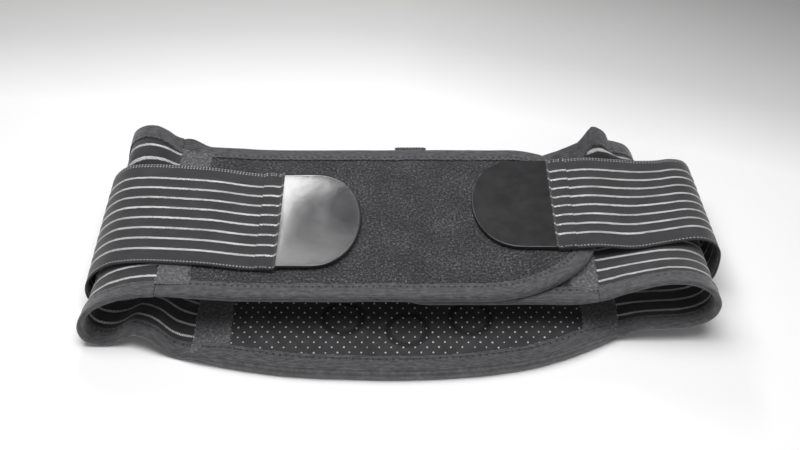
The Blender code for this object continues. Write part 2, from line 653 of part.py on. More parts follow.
def tab_outline(side, margin=0.0):
    """A D: straight where it is sewn to the strap, and rounded at the free end."""
    out = 1 if side == "left" else -1
    middle = TAB_MIDDLE_Y[side]
    x0 = TAB_X[side] + out * (GAP + margin)
    length, half = TAB_LENGTH - 2 * margin, TAB_HALF_WIDTH[side] - margin
    straight = length * 0.35
    points = [(x0, middle - half)]
    for i in range(17):
        a = -math.pi / 2 + math.pi * i / 16
        points.append((x0 + out * (straight + (length - straight) * math.cos(a) ** 0.8 if i % 16 else straight),
                       middle + half * math.sin(a)))
    points.append((x0, middle + half))
    return points if out > 0 else points[::-1]


def build_straps():
    """Both straps, cut where they bend, with their tabs, hook pads and hems."""
    found = {}
    for side in ("left", "right"):
        peel = STRAP[side].at_x(STRAP_PEEL_X[side], 0.0, 4.0)
        fold = 3.0 if side == "left" else RIGHT_STRAP_HINGE
        last = len(STRAP[side].sections[0][1]) - 1
        hem_end = STRAP[side].at_x(TAB_X[side] + (-HEM_LENGTH if side == "left" else HEM_LENGTH), 0.0, 4.0)
        found[side] = {
            "back": strap_piece(f"strap_{side}_back", side, fold + STRAP_SLIT, last),
            "base": strap_piece(f"strap_{side}_base", side, peel + STRAP_SLIT, fold),
            "front": strap_piece(f"strap_{side}_front", side, 0.0, peel),
            "hem": strap_piece(f"strap_{side}_hem", side, HEM_START, hem_end, *HEM_N),
            "tab": plate(f"tab_{side}", tab_outline(side), *TAB_Z, "tab", inset=0.6),
            "hook": plate(f"hook_pad_{side}", tab_outline(side, HOOK_MARGIN), *HOOK_Z, "hook"),
        }
    half = ANCHOR_HALF_WIDTH - GAP
    anchor = sheet("strap_anchor", flat, samples(-half, half, 2), lambda x: ANCHOR_Y[0],
                   lambda x: ANCHOR_Y[1], 0, STRAP_THICK, "elastic", columns=1)
    return found, anchor


# ---------------------------------------------------------------- joints

def hinge_line(band, u, n):
    """Two points on a hinge line that crosses a band at u, n outwards of its inner face."""
    return band.place(u, band.sections[0][0], n), band.place(u, band.sections[1][0], n)


def hinge_lines():
    """Each hinge line in millimetres from the origin, by the joint's name."""
    left, right = STRAP["left"], STRAP["right"]
    tab_top = TAB_Z[1] + GAP / 3
    lines = {
        "front_panel_open": hinge_line(left, 3.0, STRAP_THICK),
        "left_strap_peel": hinge_line(left, left.at_x(STRAP_PEEL_X["left"], 0.0, 4.0), STRAP_THICK),
        "left_tab_peel": (Vector((TAB_X["left"], -50, tab_top)), Vector((TAB_X["left"], 50, tab_top))),
        "inner_panel_lift": (RIGHT.place(RIGHT_FOLD_START, RIGHT.sections[0][0], INNER_PILE[1]),
                             RIGHT.place(RIGHT_FOLD_START, RIGHT.sections[-1][0], INNER_PILE[1])),
        "right_strap_swing": hinge_line(right, RIGHT_STRAP_HINGE, STRAP_THICK),
        "right_strap_peel": hinge_line(right, right.at_x(STRAP_PEEL_X["right"], 0.0, 4.0), STRAP_THICK),
        "right_tab_peel": (Vector((TAB_X["right"], -29, tab_top)), Vector((TAB_X["right"], 60, tab_top))),
    }
    return {joint: (near - MIDDLE, far - MIDDLE) for joint, (near, far) in lines.items()}


def hang_on(joint, line, pieces, parent=None):
    """An empty on the hinge line that carries the pieces, and itself hangs on parent."""
    pivot = bpy.data.objects.new(f"{joint}_axis", None)
    bpy.context.scene.collection.objects.link(pivot)
    pivot.location = (line[0] + line[1]) / 2 * MM
    bpy.context.view_layer.update()
    if parent:
        pivot.parent = parent
        pivot.matrix_parent_inverse = parent.matrix_world.inverted()
    bpy.context.view_layer.update()
    for piece in pieces:
        piece.parent = pivot
        piece.matrix_parent_inverse = pivot.matrix_world.inverted()
    return pivot


def main():
    for thing in list(bpy.data.objects):
        bpy.data.objects.remove(thing)
    build_back()
    for side in ("left", "right"):
        build_wing(side)
    outer, inner = build_outer_front(), build_inner_front()
    straps, _ = build_straps()
    left, right = straps["left"], straps["right"]
    lines = hinge_lines()
    front = hang_on("front_panel_open", lines["front_panel_open"], outer + [left["base"]])
    hang_on("inner_panel_lift", lines["inner_panel_lift"], inner)
    peel = hang_on("left_strap_peel", lines["left_strap_peel"], [left["front"], left["hem"]], front)
    hang_on("left_tab_peel", lines["left_tab_peel"], [left["tab"], left["hook"]], peel)
    swing = hang_on("right_strap_swing", lines["right_strap_swing"], [right["base"]])
    peel = hang_on("right_strap_peel", lines["right_strap_peel"], [right["front"], right["hem"]], swing)
    hang_on("right_tab_peel", lines["right_tab_peel"], [right["tab"], right["hook"]], peel)


main()
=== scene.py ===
"""Looks of the lumbar support belt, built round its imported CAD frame.

The cloth follows the same side-on sections as the CAD solids, so every piece lies where its
solid lies. Sizes are in millimetres until a mesh is made.
"""

import math

import bpy
import numpy as np
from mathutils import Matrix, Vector


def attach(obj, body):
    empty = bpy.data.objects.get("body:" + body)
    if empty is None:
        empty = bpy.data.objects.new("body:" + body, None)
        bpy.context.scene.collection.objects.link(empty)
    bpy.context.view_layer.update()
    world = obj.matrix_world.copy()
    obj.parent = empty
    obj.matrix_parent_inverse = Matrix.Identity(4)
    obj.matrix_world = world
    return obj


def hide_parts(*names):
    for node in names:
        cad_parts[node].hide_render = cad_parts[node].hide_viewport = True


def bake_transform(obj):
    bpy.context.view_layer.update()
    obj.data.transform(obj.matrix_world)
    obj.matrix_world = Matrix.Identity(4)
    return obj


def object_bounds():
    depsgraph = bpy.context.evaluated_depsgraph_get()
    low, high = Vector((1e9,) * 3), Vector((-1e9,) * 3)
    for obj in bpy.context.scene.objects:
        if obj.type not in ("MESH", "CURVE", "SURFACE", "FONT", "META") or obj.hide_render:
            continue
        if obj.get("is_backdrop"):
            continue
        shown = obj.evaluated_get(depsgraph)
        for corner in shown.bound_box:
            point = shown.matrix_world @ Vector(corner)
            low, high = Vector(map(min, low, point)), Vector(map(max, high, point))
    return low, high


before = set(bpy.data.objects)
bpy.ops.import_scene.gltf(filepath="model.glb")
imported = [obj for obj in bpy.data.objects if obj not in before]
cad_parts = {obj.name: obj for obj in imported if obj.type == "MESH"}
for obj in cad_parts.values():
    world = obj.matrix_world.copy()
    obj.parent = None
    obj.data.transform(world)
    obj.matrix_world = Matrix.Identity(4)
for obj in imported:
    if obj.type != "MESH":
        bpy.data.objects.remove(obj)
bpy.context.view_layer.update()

MM = 0.001
MIDDLE = np.array((1.5, 5.38, 0.0))  # from the sections' own zero to the frame's origin
rng = np.random.default_rng(7)

# ---------------------------------------------------------------- sections of the belt

OUTER_FRONT = [(134, 39.6), (60, 39.6), (-20, 39.6), (-92, 39.6)]
LEFT_END, RIGHT_END = [(-134, 6.4), (-116, 6.4)], [(138, 6.4), (127, 6.4)]
LEFT_BAND = [
    (-75, OUTER_FRONT + [(-116, 40.8), (-138, 42.6), (-158, 43.8), (-173, 43.4), (-187, 40.0),
                         (-199, 34), (-207, 25), (-210.3, 15), (-207.5, 6.5), (-199, 3.3), (-188, 6.4),
                         (-176, 13.4), (-163, 13.4), (-150, 5.2)] + LEFT_END),
    (-60, OUTER_FRONT + [(-116, 40.8), (-138, 42.8), (-158, 43.8), (-173, 43.2), (-187, 39.4),
                         (-198.5, 32.6), (-205.5, 24), (-208, 14.6), (-204, 7.4), (-196, 4.4), (-187, 6.8),
                         (-176, 14.6), (-163, 15.0), (-150, 7.2)] + LEFT_END),
    (-25, OUTER_FRONT + [(-116, 41.0), (-138, 43.3), (-158, 44.6), (-173, 44.3), (-187, 41.0),
                         (-197, 34.4), (-203, 25.2), (-205, 15.8), (-201, 9.2), (-191, 7.0), (-180, 8.2),
                         (-169, 10.2), (-157, 9.2), (-146, 7.0)] + LEFT_END),
    (44, OUTER_FRONT + [(-116, 41.2), (-138, 44.2), (-158, 46.0), (-173, 46.6), (-187, 44.2),
                        (-196, 37.6), (-201, 28.2), (-202.8, 18.2), (-199.2, 10.3), (-190, 7.4), (-180, 8.2),
                        (-169, 10.6), (-157, 9.2), (-146, 7.0)] + LEFT_END),
    (55, OUTER_FRONT + [(-116, 41.0), (-138, 42.6), (-158, 45.4), (-171, 53.0), (-182, 55.4),
                        (-191, 51.5), (-196, 41.5), (-198.5, 29), (-196.5, 16.5), (-188, 9.0), (-180, 8.2),
                        (-169, 10.6), (-157, 9.2), (-146, 7.0)] + LEFT_END),
    (79, OUTER_FRONT + [(-116, 41.4), (-138, 43.4), (-158, 49.6), (-170, 58.4), (-181, 61.0),
                        (-190, 56.5), (-193.8, 46), (-195, 34), (-194, 22), (-189.5, 12), (-180, 8.2),
                        (-169, 10.6), (-157, 9.2), (-146, 7.0)] + LEFT_END),
]
INNER_FRONT = [(-20, 33.5), (40, 33.5), (90, 33.5)]
RIGHT_BAND = [
    (-69, INNER_FRONT + [(112, 33.5), (130, 35.6), (146, 44.2), (161, 50.4), (176, 54.0), (190, 52.4),
                         (200.5, 45.6), (205.8, 36), (205, 26), (198.5, 19), (188, 15.4), (174, 14.2),
                         (160, 12.6), (147, 6.8)] + RIGHT_END),
    (-56, INNER_FRONT + [(112, 33.5), (130, 35.2), (146, 42.0), (161, 47.4), (176, 51.0), (190, 50.0),
                         (200.5, 44), (205.5, 34.5), (205, 24.5), (198.8, 17.5), (188, 13.6), (174, 12.4),
                         (160, 10.6), (147, 6.7)] + RIGHT_END),
    (-30, INNER_FRONT + [(112, 33.5), (130, 34.6), (146, 38.6), (161, 42.8), (176, 46.0), (190, 45.8),
                         (200.3, 40.4), (205, 31.5), (204.6, 22), (198.8, 14.8), (188, 11), (174, 9.6),
                         (160, 8.4), (147, 6.6)] + RIGHT_END),
    (57, INNER_FRONT + [(112, 33.5), (130, 34.4), (145, 37.8), (158, 40.0), (170, 40.4), (183, 40.2),
                        (193, 37.2), (198.5, 30), (199, 22), (193.5, 14.6), (183, 10.4), (171, 8.8),
                        (159, 8.0), (147, 6.6)] + RIGHT_END),
    (66, INNER_FRONT + [(112, 35.0), (130, 43.0), (138, 47.5), (144, 50.0), (149.5, 48), (155, 44.5),
                        (162, 43), (169, 39.5), (174, 32), (175.5, 22), (171.5, 13.5), (166, 9.6),
                        (157, 7.8), (147, 6.6)] + RIGHT_END),
    (79, INNER_FRONT + [(112, 43.0), (130, 55.6), (136.5, 58.4), (142, 59.0), (147, 55), (150.5, 47.8),
                        (157, 45.8), (164, 42.6), (169, 34.5), (170.5, 24), (168, 14.5), (163, 10),
                        (156, 8), (147, 6.6)] + RIGHT_END),
]
STRAP_LEVEL, UNDER = 44.2, 1.6
LEFT_STRAP = [
    (-50, [(-83, STRAP_LEVEL), (-105, 45.2), (-130, 47.8), (-158, 48.6), (-176, 47.4), (-191, 43.6),
           (-202, 36.5), (-209, 27), (-211.5, 17), (-209.5, 8.5), (-202, 3.9), (-190, 2.0),
           (-165, UNDER), (-100, UNDER), (-25, UNDER)]),
    (50, [(-83, STRAP_LEVEL), (-105, 46.0), (-130, 50.0), (-158, 52.0), (-176, 52.6), (-191, 50.4),
          (-201, 43.5), (-206.5, 33.5), (-208.5, 21), (-205.5, 10), (-198, 4.2), (-186, 2.1),
          (-163, UNDER), (-100, UNDER), (-25, UNDER)]),
]
RIGHT_STRAP = [
    (-29, [(106, STRAP_LEVEL), (130, 47.4), (155, 45.6), (170, 48.2), (184, 51.6), (197, 53.8),
           (207, 51.0), (213, 43), (214.6, 32), (213.6, 19), (208.5, 8.5), (200, 4.0), (187, 2.1),
           (160, UNDER), (100, UNDER), (25, UNDER)]),
    (61, [(106, STRAP_LEVEL), (130, 48.2), (155, 46.4), (170, 44.4), (184, 44.4), (195, 46.0),
          (204, 43.8), (209.5, 36.5), (211, 27), (209.2, 15), (204.5, 7.8), (196, 4.0), (184, 2.1),
          (158, UNDER), (100, UNDER), (25, UNDER)]),
]
FRONT_SEAM_X, FRONT_TIP_X = (-158.0, -138.0), 134.0
FRONT_NEAR_Y, FRONT_FAR_Y = -70.1, 75.1
INNER_SEAM_X, INNER_TIP_X = (113.0, 130.0), -20.0
INNER_NEAR_Y, INNER_FAR_Y, INNER_CORNER = -67.1, 73.1, 40.0
BACK_X, LINING_X = (-135.0, 145.0), (-114.0, 124.0)
BACK_NEAR = [(-135, -89.1), (-110, -95.0), (-90, -98.4), (-65, -101.5), (-16, -104.0), (32, -102.6),
             (78, -96.6), (105, -88.4), (125, -79.6), (145, -70.1)]
BACK_FAR = [(-135, 79.1), (-100, 88.5), (-65, 95.0), (-30, 98.8), (5, 100.1), (40, 98.8), (75, 95.0),
            (110, 88.5), (145, 79.1)]
WING_NEAR, WING_FAR = {"left": -75.1, "right": -70.1}, 79.1
SHELL_Z, BACK_LINING_Z = (1.9, 3.4), (9.0, 10.5)
MAGNET_SEAM_R = 12.8
MAGNETS = [(x, y - (10.0 if x == 5.0 else 0.0)) for y in (-60.0, 0.0, 60.0) for x in (-38.0, 5.0, 47.0)]


def spline(points, us):
    """Points (x, z) at us, counted in points, on a smooth curve through all the points."""
    pts = np.array(points, float)
    last = len(pts) - 1
    us = np.asarray(us, float)
    i = np.clip(us.astype(int), 0, last - 1)
    t = (us - i)[:, None]
    a, b, c, d = (pts[np.clip(i + k, 0, last)] for k in (-1, 0, 1, 2))
    return b + 0.5 * t * (c - a + t * (2 * a - 5 * b + 4 * c - d + t * (3 * (b - c) + d - a)))


SHOULDER_X, SHOULDER_REACH, SHOULDER_HEIGHT = -151.0, 14.0, 6.5
SHOULDER_Y, SHOULDER_TOP_Y, SHOULDER_LOWEST_Z = 66.0, 77.0, 30.0


def shoulder(points):
    """Lifts what lies at the upper edge by the left seam, where the tape curls up."""
    lift = SHOULDER_HEIGHT * bump(points[..., 0] - SHOULDER_X, SHOULDER_REACH)
    rise = np.clip((points[..., 1] - SHOULDER_Y) / (SHOULDER_TOP_Y - SHOULDER_Y), 0, 1)
    points[..., 2] += np.where(points[..., 2] > SHOULDER_LOWEST_Z, lift * rise * rise, 0)
    return points


class Band:
    """A band of cloth lofted through side-on sections, with an outward normal."""

    def __init__(self, sections, turn):
        self.sections, self.turn = sections, turn

    def section(self, u, y):
        ys = np.array([place for place, _ in self.sections], float)
        last = len(ys) - 1
        found = np.stack([spline(points, u) for _, points in self.sections])
        k = np.clip(np.searchsorted(ys, y, side="right") - 1, 0, last - 1)
        before, after = np.maximum(k - 1, 0), np.minimum(k + 2, last)
        at = np.arange(len(u))
        a, b, c, d = (found[i, at] for i in (before, k, k + 1, after))
        span = ys[k + 1] - ys[k]
        beyond = ((y - ys[k]) / span)[:, None]
        t = np.clip(beyond, 0, 1)
        slope_b = (c - a) * (span / (ys[k + 1] - ys[before]))[:, None]
        slope_c = (d - b) * (span / (ys[after] - ys[k]))[:, None]
        return (b + t * slope_b + t ** 2 * (3 * (c - b) - 2 * slope_b - slope_c)
                + t ** 3 * (2 * (b - c) + slope_b + slope_c)
                + (beyond - t) * np.where(beyond < 0, slope_b, slope_c))

    def place(self, u, y, n):
        """Points n outwards of the inner face, for arrays u, y and n of one shape."""
        u, y, n = np.broadcast_arrays(*(np.asarray(v, float) for v in (u, y, n)))
        shape = u.shape
        u, y, n = u.ravel(), y.ravel(), n.ravel()
        at = self.section(u, y)
        tangent = self.section(u + 0.02, y) - self.section(u - 0.02, y)
        tangent /= np.linalg.norm(tangent, axis=1)[:, None]
        out = np.stack([at[:, 0] + self.turn * n * tangent[:, 1], y,
                        at[:, 1] - self.turn * n * tangent[:, 0]], 1)
        out = out.reshape(*shape, 3)
        return shoulder(out) if self is LEFT else out

    def lengths(self, us, y=0.0):
        """How far along the cloth each of us is, in millimetres from the first."""
        fine = np.linspace(us[0], us[-1], 400)
        path = self.section(fine, np.full(400, y))
        run = np.concatenate([[0], np.cumsum(np.linalg.norm(np.diff(path, axis=0), axis=1))])
        return np.interp(us, fine, run) if us[-1] > us[0] else np.interp(-np.array(us), -fine, run)

    def path(self, samples):
        """Evenly spaced us over the whole band, and the length of cloth up to each."""
        whole = np.linspace(0, len(self.sections[0][1]) - 1.0, samples)
        return whole, self.lengths(whole)

    def at_x(self, xs):
        """Where the flat front stretch of the band reaches each x."""
        fine = np.linspace(0, 7, 3000)
        x = self.section(fine, np.zeros(3000))[:, 0] * -self.turn
        return np.interp(np.asarray(xs, float) * -self.turn, x, fine)

    def place_at_x(self, x, y, n):
        x, y, n = np.broadcast_arrays(*(np.asarray(v, float) for v in (x, y, n)))
        return self.place(self.at_x(x.ravel()).reshape(x.shape), y, n)


LEFT, RIGHT = Band(LEFT_BAND, 1), Band(RIGHT_BAND, -1)
STRAP = {"left": Band(LEFT_STRAP, 1), "right": Band(RIGHT_STRAP, -1)}


def flat(x, y, z):
    x, y, z = np.broadcast_arrays(*(np.asarray(v, float) for v in (x, y, z)))
    return np.stack([x, y, z], -1)


def ramp(start, end, low, high):
    return lambda u: start + (end - start) * np.clip((np.asarray(u, float) - low) / (high - low), 0, 1)


def bump(x, width):
    """1 at x = 0, falling smoothly to 0 at width either side."""
    t = np.clip(1 - np.abs(x) / width, 0, 1)
    return t * t * (3 - 2 * t)


WAVES = [(rng.uniform(-1, 1, 2), rng.uniform(0, 6.28)) for _ in range(24)]


def crumple(x, y, size):
    """Smooth seeded unevenness from -1 to 1, with features about size across."""
    total = np.zeros(np.broadcast(x, y).shape)
    for (kx, ky), phase in WAVES:
        total = total + np.sin((x * kx + y * ky) * 6.0 / size + phase + np.sin(x * ky * 3 / size))
    return total / 7.0


# ---------------------------------------------------------------- materials

class Shader:
    """A material of procedural nodes, built up by small calls."""

    def __init__(self, name, colour, roughness, **sockets):
        self.material = bpy.data.materials.new(name)
        self.material.use_nodes = True
        self.tree = self.material.node_tree
        self.main = self.tree.nodes["Principled BSDF"]
        self.set("Base Color", (*colour, 1))
        self.set("Roughness", roughness)
        for key, value in sockets.items():
            self.set(key.replace("_", " "), value)

    def set(self, socket, value):
        self.main.inputs[socket].default_value = value

    def link(self, a, b):
        self.tree.links.new(a, b)

    def node(self, kind, inputs=(), **settings):
        made = self.tree.nodes.new("ShaderNode" + kind)
        for key, value in settings.items():
            setattr(made, key, value)
        for key, value in dict(inputs).items():
            if isinstance(value, bpy.types.NodeSocket):
                self.link(value, made.inputs[key])
            else:
                made.inputs[key].default_value = value
        return made

    def math(self, operation, a, b=0.0):
        return self.node("Math", {0: a, 1: b, 2: 0.0}, operation=operation).outputs[0]

    def add(self, a, b):
        return self.math("ADD", a, b)

    def sub(self, a, b):
        return self.math("SUBTRACT", a, b)

    def mul(self, a, b):
        return self.math("MULTIPLY", a, b)

    def sine(self, value, rate):
        return self.math("SINE", self.mul(value, rate))

    def remap(self, value, low, high, to_low=0.0, to_high=1.0):
        return self.node("MapRange", {"Value": value, "From Min": low, "From Max": high,
                                      "To Min": to_low, "To Max": to_high}).outputs[0]

    def uv(self):
        """(along, across) in millimetres, as two sockets, and the pair as a vector."""
        source = self.node("UVMap", uv_map="cloth")
        scaled = self.node("VectorMath", {0: source.outputs[0], 1: (1000, 1000, 1000)}, operation="MULTIPLY")
        parts = self.node("SeparateXYZ", {0: scaled.outputs[0]})
        return parts.outputs[0], parts.outputs[1], scaled.outputs[0]

    def noise(self, vector, scale, detail=3.0, roughness=0.6, stretch=None):
        if stretch:
            vector = self.node("VectorMath", {0: vector, 1: stretch}, operation="MULTIPLY").outputs[0]
        return self.node("TexNoise", {"Vector": vector, "Scale": scale, "Detail": detail,
                                      "Roughness": roughness}).outputs["Fac"]

    def ramp(self, value, stops):
        made = self.node("ValToRGB", {"Fac": value})
        while len(made.color_ramp.elements) < len(stops):
            made.color_ramp.elements.new(0.5)
        for element, (place, colour) in zip(made.color_ramp.elements, stops):
            element.position = place
            element.color = (*colour, 1) if len(colour) == 3 else colour
        return made.outputs["Color"]

    def mix(self, factor, a, b):
        made = self.node("Mix", data_type="RGBA")
        for key, value in ((0, factor), (6, a), (7, b)):
            if isinstance(value, bpy.types.NodeSocket):
                self.link(value, made.inputs[key])
            else:
                made.inputs[key].default_value = value if key == 0 else (*value, 1)
        return made.outputs[2]

    def bumps(self, *layers):
        """layers are (height socket, distance in metres, strength), coarse first."""
        normal = None
        for height, distance, strength in layers:
            made = self.node("Bump", {"Height": height, "Distance": distance, "Strength": strength})
            if normal is not None:
                self.link(normal, made.inputs["Normal"])
            normal = made.outputs["Normal"]
        self.link(normal, self.main.inputs["Normal"])

    def to(self, socket, value):
        self.link(value, self.main.inputs[socket])


def object_mm(shader):
    """Object coordinates in millimetres, for pieces that never bend."""
    source = shader.node("TexCoord").outputs["Object"]
    return shader.node("VectorMath", {0: source, 1: (1000, 1000, 1000)}, operation="MULTIPLY").outputs[0]


def elastic_material(name, first, pitch, count, width, thread_edges):
    """Black ribbed elastic with woven silver stripes along it."""
    s = Shader(name, (0.02, 0.02, 0.022), 0.7, Sheen_Weight=0.25, Sheen_Roughness=0.5)
    along, across, both = s.uv()
    place = s.math("DIVIDE", s.sub(across, first), pitch)
    nearest = s.math("ROUND", place)
    inside = s.mul(s.math("GREATER_THAN", nearest, -0.5), s.math("LESS_THAN", nearest, count - 0.5))
    wobble = s.mul(s.sub(s.noise(both, 0.35, 2.0, 0.5), 0.5), 0.9)
    distance = s.math("ABSOLUTE", s.add(s.mul(s.sub(place, nearest), pitch), wobble))
    stripe = s.mul(s.remap(distance, width * 0.62, width * 0.38), inside)
    stitch = s.math("SINE", s.add(s.mul(along, 5.6), s.mul(across, 2.6)))
    # Painted highlights in the silver's colour: glint paints sparkle along the stitches, and the large
    # stretched noise below paints bright and dull patches where highlights fall.
    glint = s.add(s.mul(stitch, 0.20), s.noise(both, 1.3, 3.0, 0.7, (0.8, 2.0, 1.0)))
    wear_and_sheen = s.sub(s.noise(both, 0.045, 2.0, 0.6, (1.0, 2.5, 1.0)), 0.5)
    silver = s.ramp(s.add(glint, s.mul(wear_and_sheen, 0.35)),
                    [(0.30, (0.10, 0.10, 0.105)), (0.50, (0.50, 0.50, 0.51)), (0.70, (1.0, 1.0, 1.0))])
    for edge in thread_edges:
        near = s.remap(s.math("ABSOLUTE", s.sub(across, edge)), 0.55, 0.25)
        dots = s.math("GREATER_THAN", s.sine(along, 2.9), 0.0)
        stripe = s.math("MAXIMUM", stripe, s.mul(s.mul(near, dots), 0.7))
    patch = s.noise(both, 0.06, 4.0, 0.6)
    ribs = s.sine(across, 7.4)
    ground = s.ramp(s.add(s.mul(ribs, 0.12), patch),
                    [(0.25, (0.014, 0.0135, 0.0150)), (0.6, (0.025, 0.0245, 0.0275)),
                     (0.85, (0.042, 0.041, 0.045))])
    s.to("Base Color", s.mix(stripe, ground, silver))
    s.to("Metallic", s.mul(stripe, 0.25))
    s.to("Roughness", s.remap(stripe, 0.0, 1.0, 0.82, 0.38))
    s.bumps((s.add(ribs, s.mul(s.sine(along, 9.0), 0.6)), 0.00010, 0.7),
            (s.noise(both, 2.2, 3.0, 0.7), 0.00018, 0.5))
    return s.material


def pile_material():
    s = Shader("loop_pile_cloth", (0.02, 0.02, 0.022), 0.95, Sheen_Weight=0.12, Sheen_Roughness=0.5)
    _, _, both = s.uv()
    tufts = s.noise(both, 0.62, 3.0, 0.75)
    fine = s.noise(both, 1.5, 3.0, 0.7)
    patch = s.noise(both, 0.05, 3.0, 0.6)
    speck = s.add(s.add(s.mul(tufts, 0.7), s.mul(fine, 0.3)), s.mul(s.sub(patch, 0.5), 0.12))
    s.to("Base Color", s.ramp(speck, [(0.36, (0.004, 0.004, 0.005)), (0.48, (0.020, 0.020, 0.022)),
                                      (0.56, (0.060, 0.060, 0.064)), (0.68, (0.24, 0.24, 0.25))]))
    s.bumps((tufts, 0.0009, 0.8), (fine, 0.0005, 0.6))
    return s.material


def tape_material(name, dark, mid, light, rib):
    """Ribbed woven binding tape; the ribs run along it, and its seam shows as a row of dark holes."""
    s = Shader(name, mid, 0.85, Sheen_Weight=0.35, Sheen_Roughness=0.5)
    along, across, both = s.uv()
    ribs = s.sine(across, rib)
    wear_and_sheen = s.noise(both, 0.35, 4.0, 0.7, (0.5, 1.4, 1.0))
    cloth_colour = s.ramp(s.add(s.mul(ribs, 0.10), wear_and_sheen), [(0.3, dark), (0.52, mid), (0.78, light)])
    in_row = s.remap(s.math("ABSOLUTE", s.sub(across, STITCH_INSET)), 1.1, 0.5)
    turn = s.math("COSINE", s.mul(along, 2 * math.pi / STITCH_PITCH))
    hole = s.mul(s.mul(in_row, s.remap(turn, 0.1, 0.7)), 0.9)
    s.to("Base Color", s.mix(hole, cloth_colour, (0.006, 0.006, 0.007)))
    s.bumps((s.add(ribs, s.mul(s.sine(along, 8.0), 0.5)), 0.00012, 0.7),
            (s.noise(both, 1.6, 4.0, 0.7), 0.0002, 0.6))
    return s.material


def seam_material():
    s = Shader("brushed_seam_tape", (0.10, 0.10, 0.105), 0.95, Sheen_Weight=0.6, Sheen_Roughness=0.4)
    _, _, both = s.uv()
    nap = s.noise(both, 0.5, 6.0, 0.75)
    s.to("Base Color", s.ramp(nap, [(0.3, (0.035, 0.035, 0.038)), (0.5, (0.085, 0.085, 0.090)),
                                    (0.70, (0.25, 0.25, 0.26))]))
    s.bumps((s.noise(both, 0.18, 3.0, 0.6), 0.0006, 0.5), (nap, 0.0005, 0.8))
    return s.material


def lining_material(name, ringed):
    """Smooth knit; ringed darkens the colour along the sunken seams round the magnets of the back, as painted
    shade in their grooves.
    """
    s = Shader(name, (0.02, 0.02, 0.022), 0.8, Sheen_Weight=0.2)
    along, across, both = s.uv()
    knit = s.mul(s.sine(along, 6.0), s.sine(across, 6.0))
    patch = s.noise(both, 0.08, 4.0, 0.6)
    colour = s.ramp(s.add(patch, s.mul(knit, 0.06)),
                    [(0.3, (0.012, 0.012, 0.013)), (0.7, (0.034, 0.032, 0.035))])
    if ringed:
        spot = object_mm(s)
        nearest = 99.0
        for x, y in MAGNETS:
            level = s.node("VectorMath", {0: spot, 1: (1, 1, 0)}, operation="MULTIPLY").outputs[0]
            away = s.node("VectorMath", {0: level, 1: (x - MIDDLE[0], y - MIDDLE[1], 0)},
                          operation="DISTANCE")
            nearest = s.math("MINIMUM", away.outputs["Value"], nearest)
        # painted shade: a near-black band along each sunken magnet seam, where the groove lies in shade
        ring = s.remap(s.math("ABSOLUTE", s.sub(nearest, 13.0)), 3.0, 1.6)
        colour = s.mix(s.mul(ring, 0.95), colour, (0.002, 0.002, 0.0022))
    s.to("Base Color", colour)
    s.bumps((knit, 0.00008, 0.6), (s.noise(both, 1.2, 3.0, 0.6), 0.0001, 0.4))
    return s.material


def plain(name, colour, roughness, texture, stops, distance, strength, **sockets):
    """One pattern in object millimetres that sets both colour and bump. texture is either what
    Shader.noise takes after its vector, or (a node's kind, its output, its inputs). Gives the
    shader and the pattern."""
    s = Shader(name, colour, roughness, **sockets)
    spot = object_mm(s)
    if isinstance(texture[0], str):
        kind, output, inputs = texture
        value = s.node(kind, {"Vector": spot, **inputs}).outputs[output]
    else:
        value = s.noise(spot, *texture)
    s.to("Base Color", s.ramp(value, stops))
    s.bumps((value, distance, strength))
    return s, value


def hook_material():
    shader, _ = plain("hook_tape", (0.015, 0.015, 0.016), 0.6,
                      ("TexVoronoi", "Distance", {"Scale": 0.9, "Randomness": 0.25}),
                      [(0.1, (0.045, 0.045, 0.048)), (0.5, (0.010, 0.010, 0.011))], 0.0006, 0.9)
    return shader.material


def foam_material():
    shader, _ = plain("open_cell_foam", (0.12, 0.12, 0.125), 0.95, ("TexVoronoi", "Distance", {"Scale": 1.4}),
                      [(0.0, (0.05, 0.05, 0.052)), (0.6, (0.16, 0.16, 0.165))], 0.0003, 0.8)
    return shader.material


def magnet_material():
    shader, _ = plain("ground_ferrite", (0.1, 0.1, 0.105), 0.45, (1.5, 5.0, 0.7),
                      [(0.3, (0.07, 0.07, 0.075)), (0.7, (0.16, 0.16, 0.17))], 0.00008, 0.5, Metallic=0.7)
    return shader.material


def steel_material():
    shader, grain = plain("spring_steel", (0.5, 0.51, 0.53), 0.35, (1.0, 4.0, 0.6, (4.0, 0.15, 4.0)),
                          [(0.3, (0.42, 0.43, 0.45)), (0.7, (0.60, 0.61, 0.63))], 0.00005, 0.4, Metallic=1.0)
    shader.to("Roughness", shader.remap(grain, 0.0, 1.0, 0.25, 0.5))
    return shader.material


def webbing_material(name):
    shader, _ = plain(name, (0.03, 0.03, 0.033), 0.85,
                      ("TexWave", "Fac", {"Scale": 0.55, "Distortion": 0.4, "Detail": 2.0}),
                      [(0.2, (0.018, 0.018, 0.02)), (0.8, (0.05, 0.05, 0.054))], 0.0003, 0.7, Sheen_Weight=0.2)
    return shader.material


def tab_material(name, colour, low, high):
    """Moulded plastic: a fine grain, faint rubbing marks, and a little unevenness in the gloss."""
    s = Shader(name, colour, (low + high) / 2, Specular_IOR_Level=0.7)
    spot = object_mm(s)
    haze = s.noise(spot, 0.08, 4.0, 0.6)
    marks = s.noise(spot, 0.7, 4.0, 0.7, (0.25, 3.0, 1.0))
    s.to("Roughness", s.remap(haze, 0.3, 0.7, low, high))
    s.to("Base Color", s.mix(marks, tuple(c * 0.8 for c in colour), tuple(c * 1.25 for c in colour)))
    s.bumps((haze, 0.0006, 0.12), (s.noise(spot, 3.5, 2.0, 0.5), 0.00003, 0.35))
    return s.material


def thread_material(name, colour):
    s = Shader(name, colour, 0.7, Sheen_Weight=0.3)
    ply = s.noise(object_mm(s), 4.0, 2.0, 0.6)
    s.to("Base Color", s.mix(ply, tuple(c * 0.6 for c in colour), tuple(c * 1.4 for c in colour)))
    s.bumps((ply, 0.00008, 0.6))
    return s.material


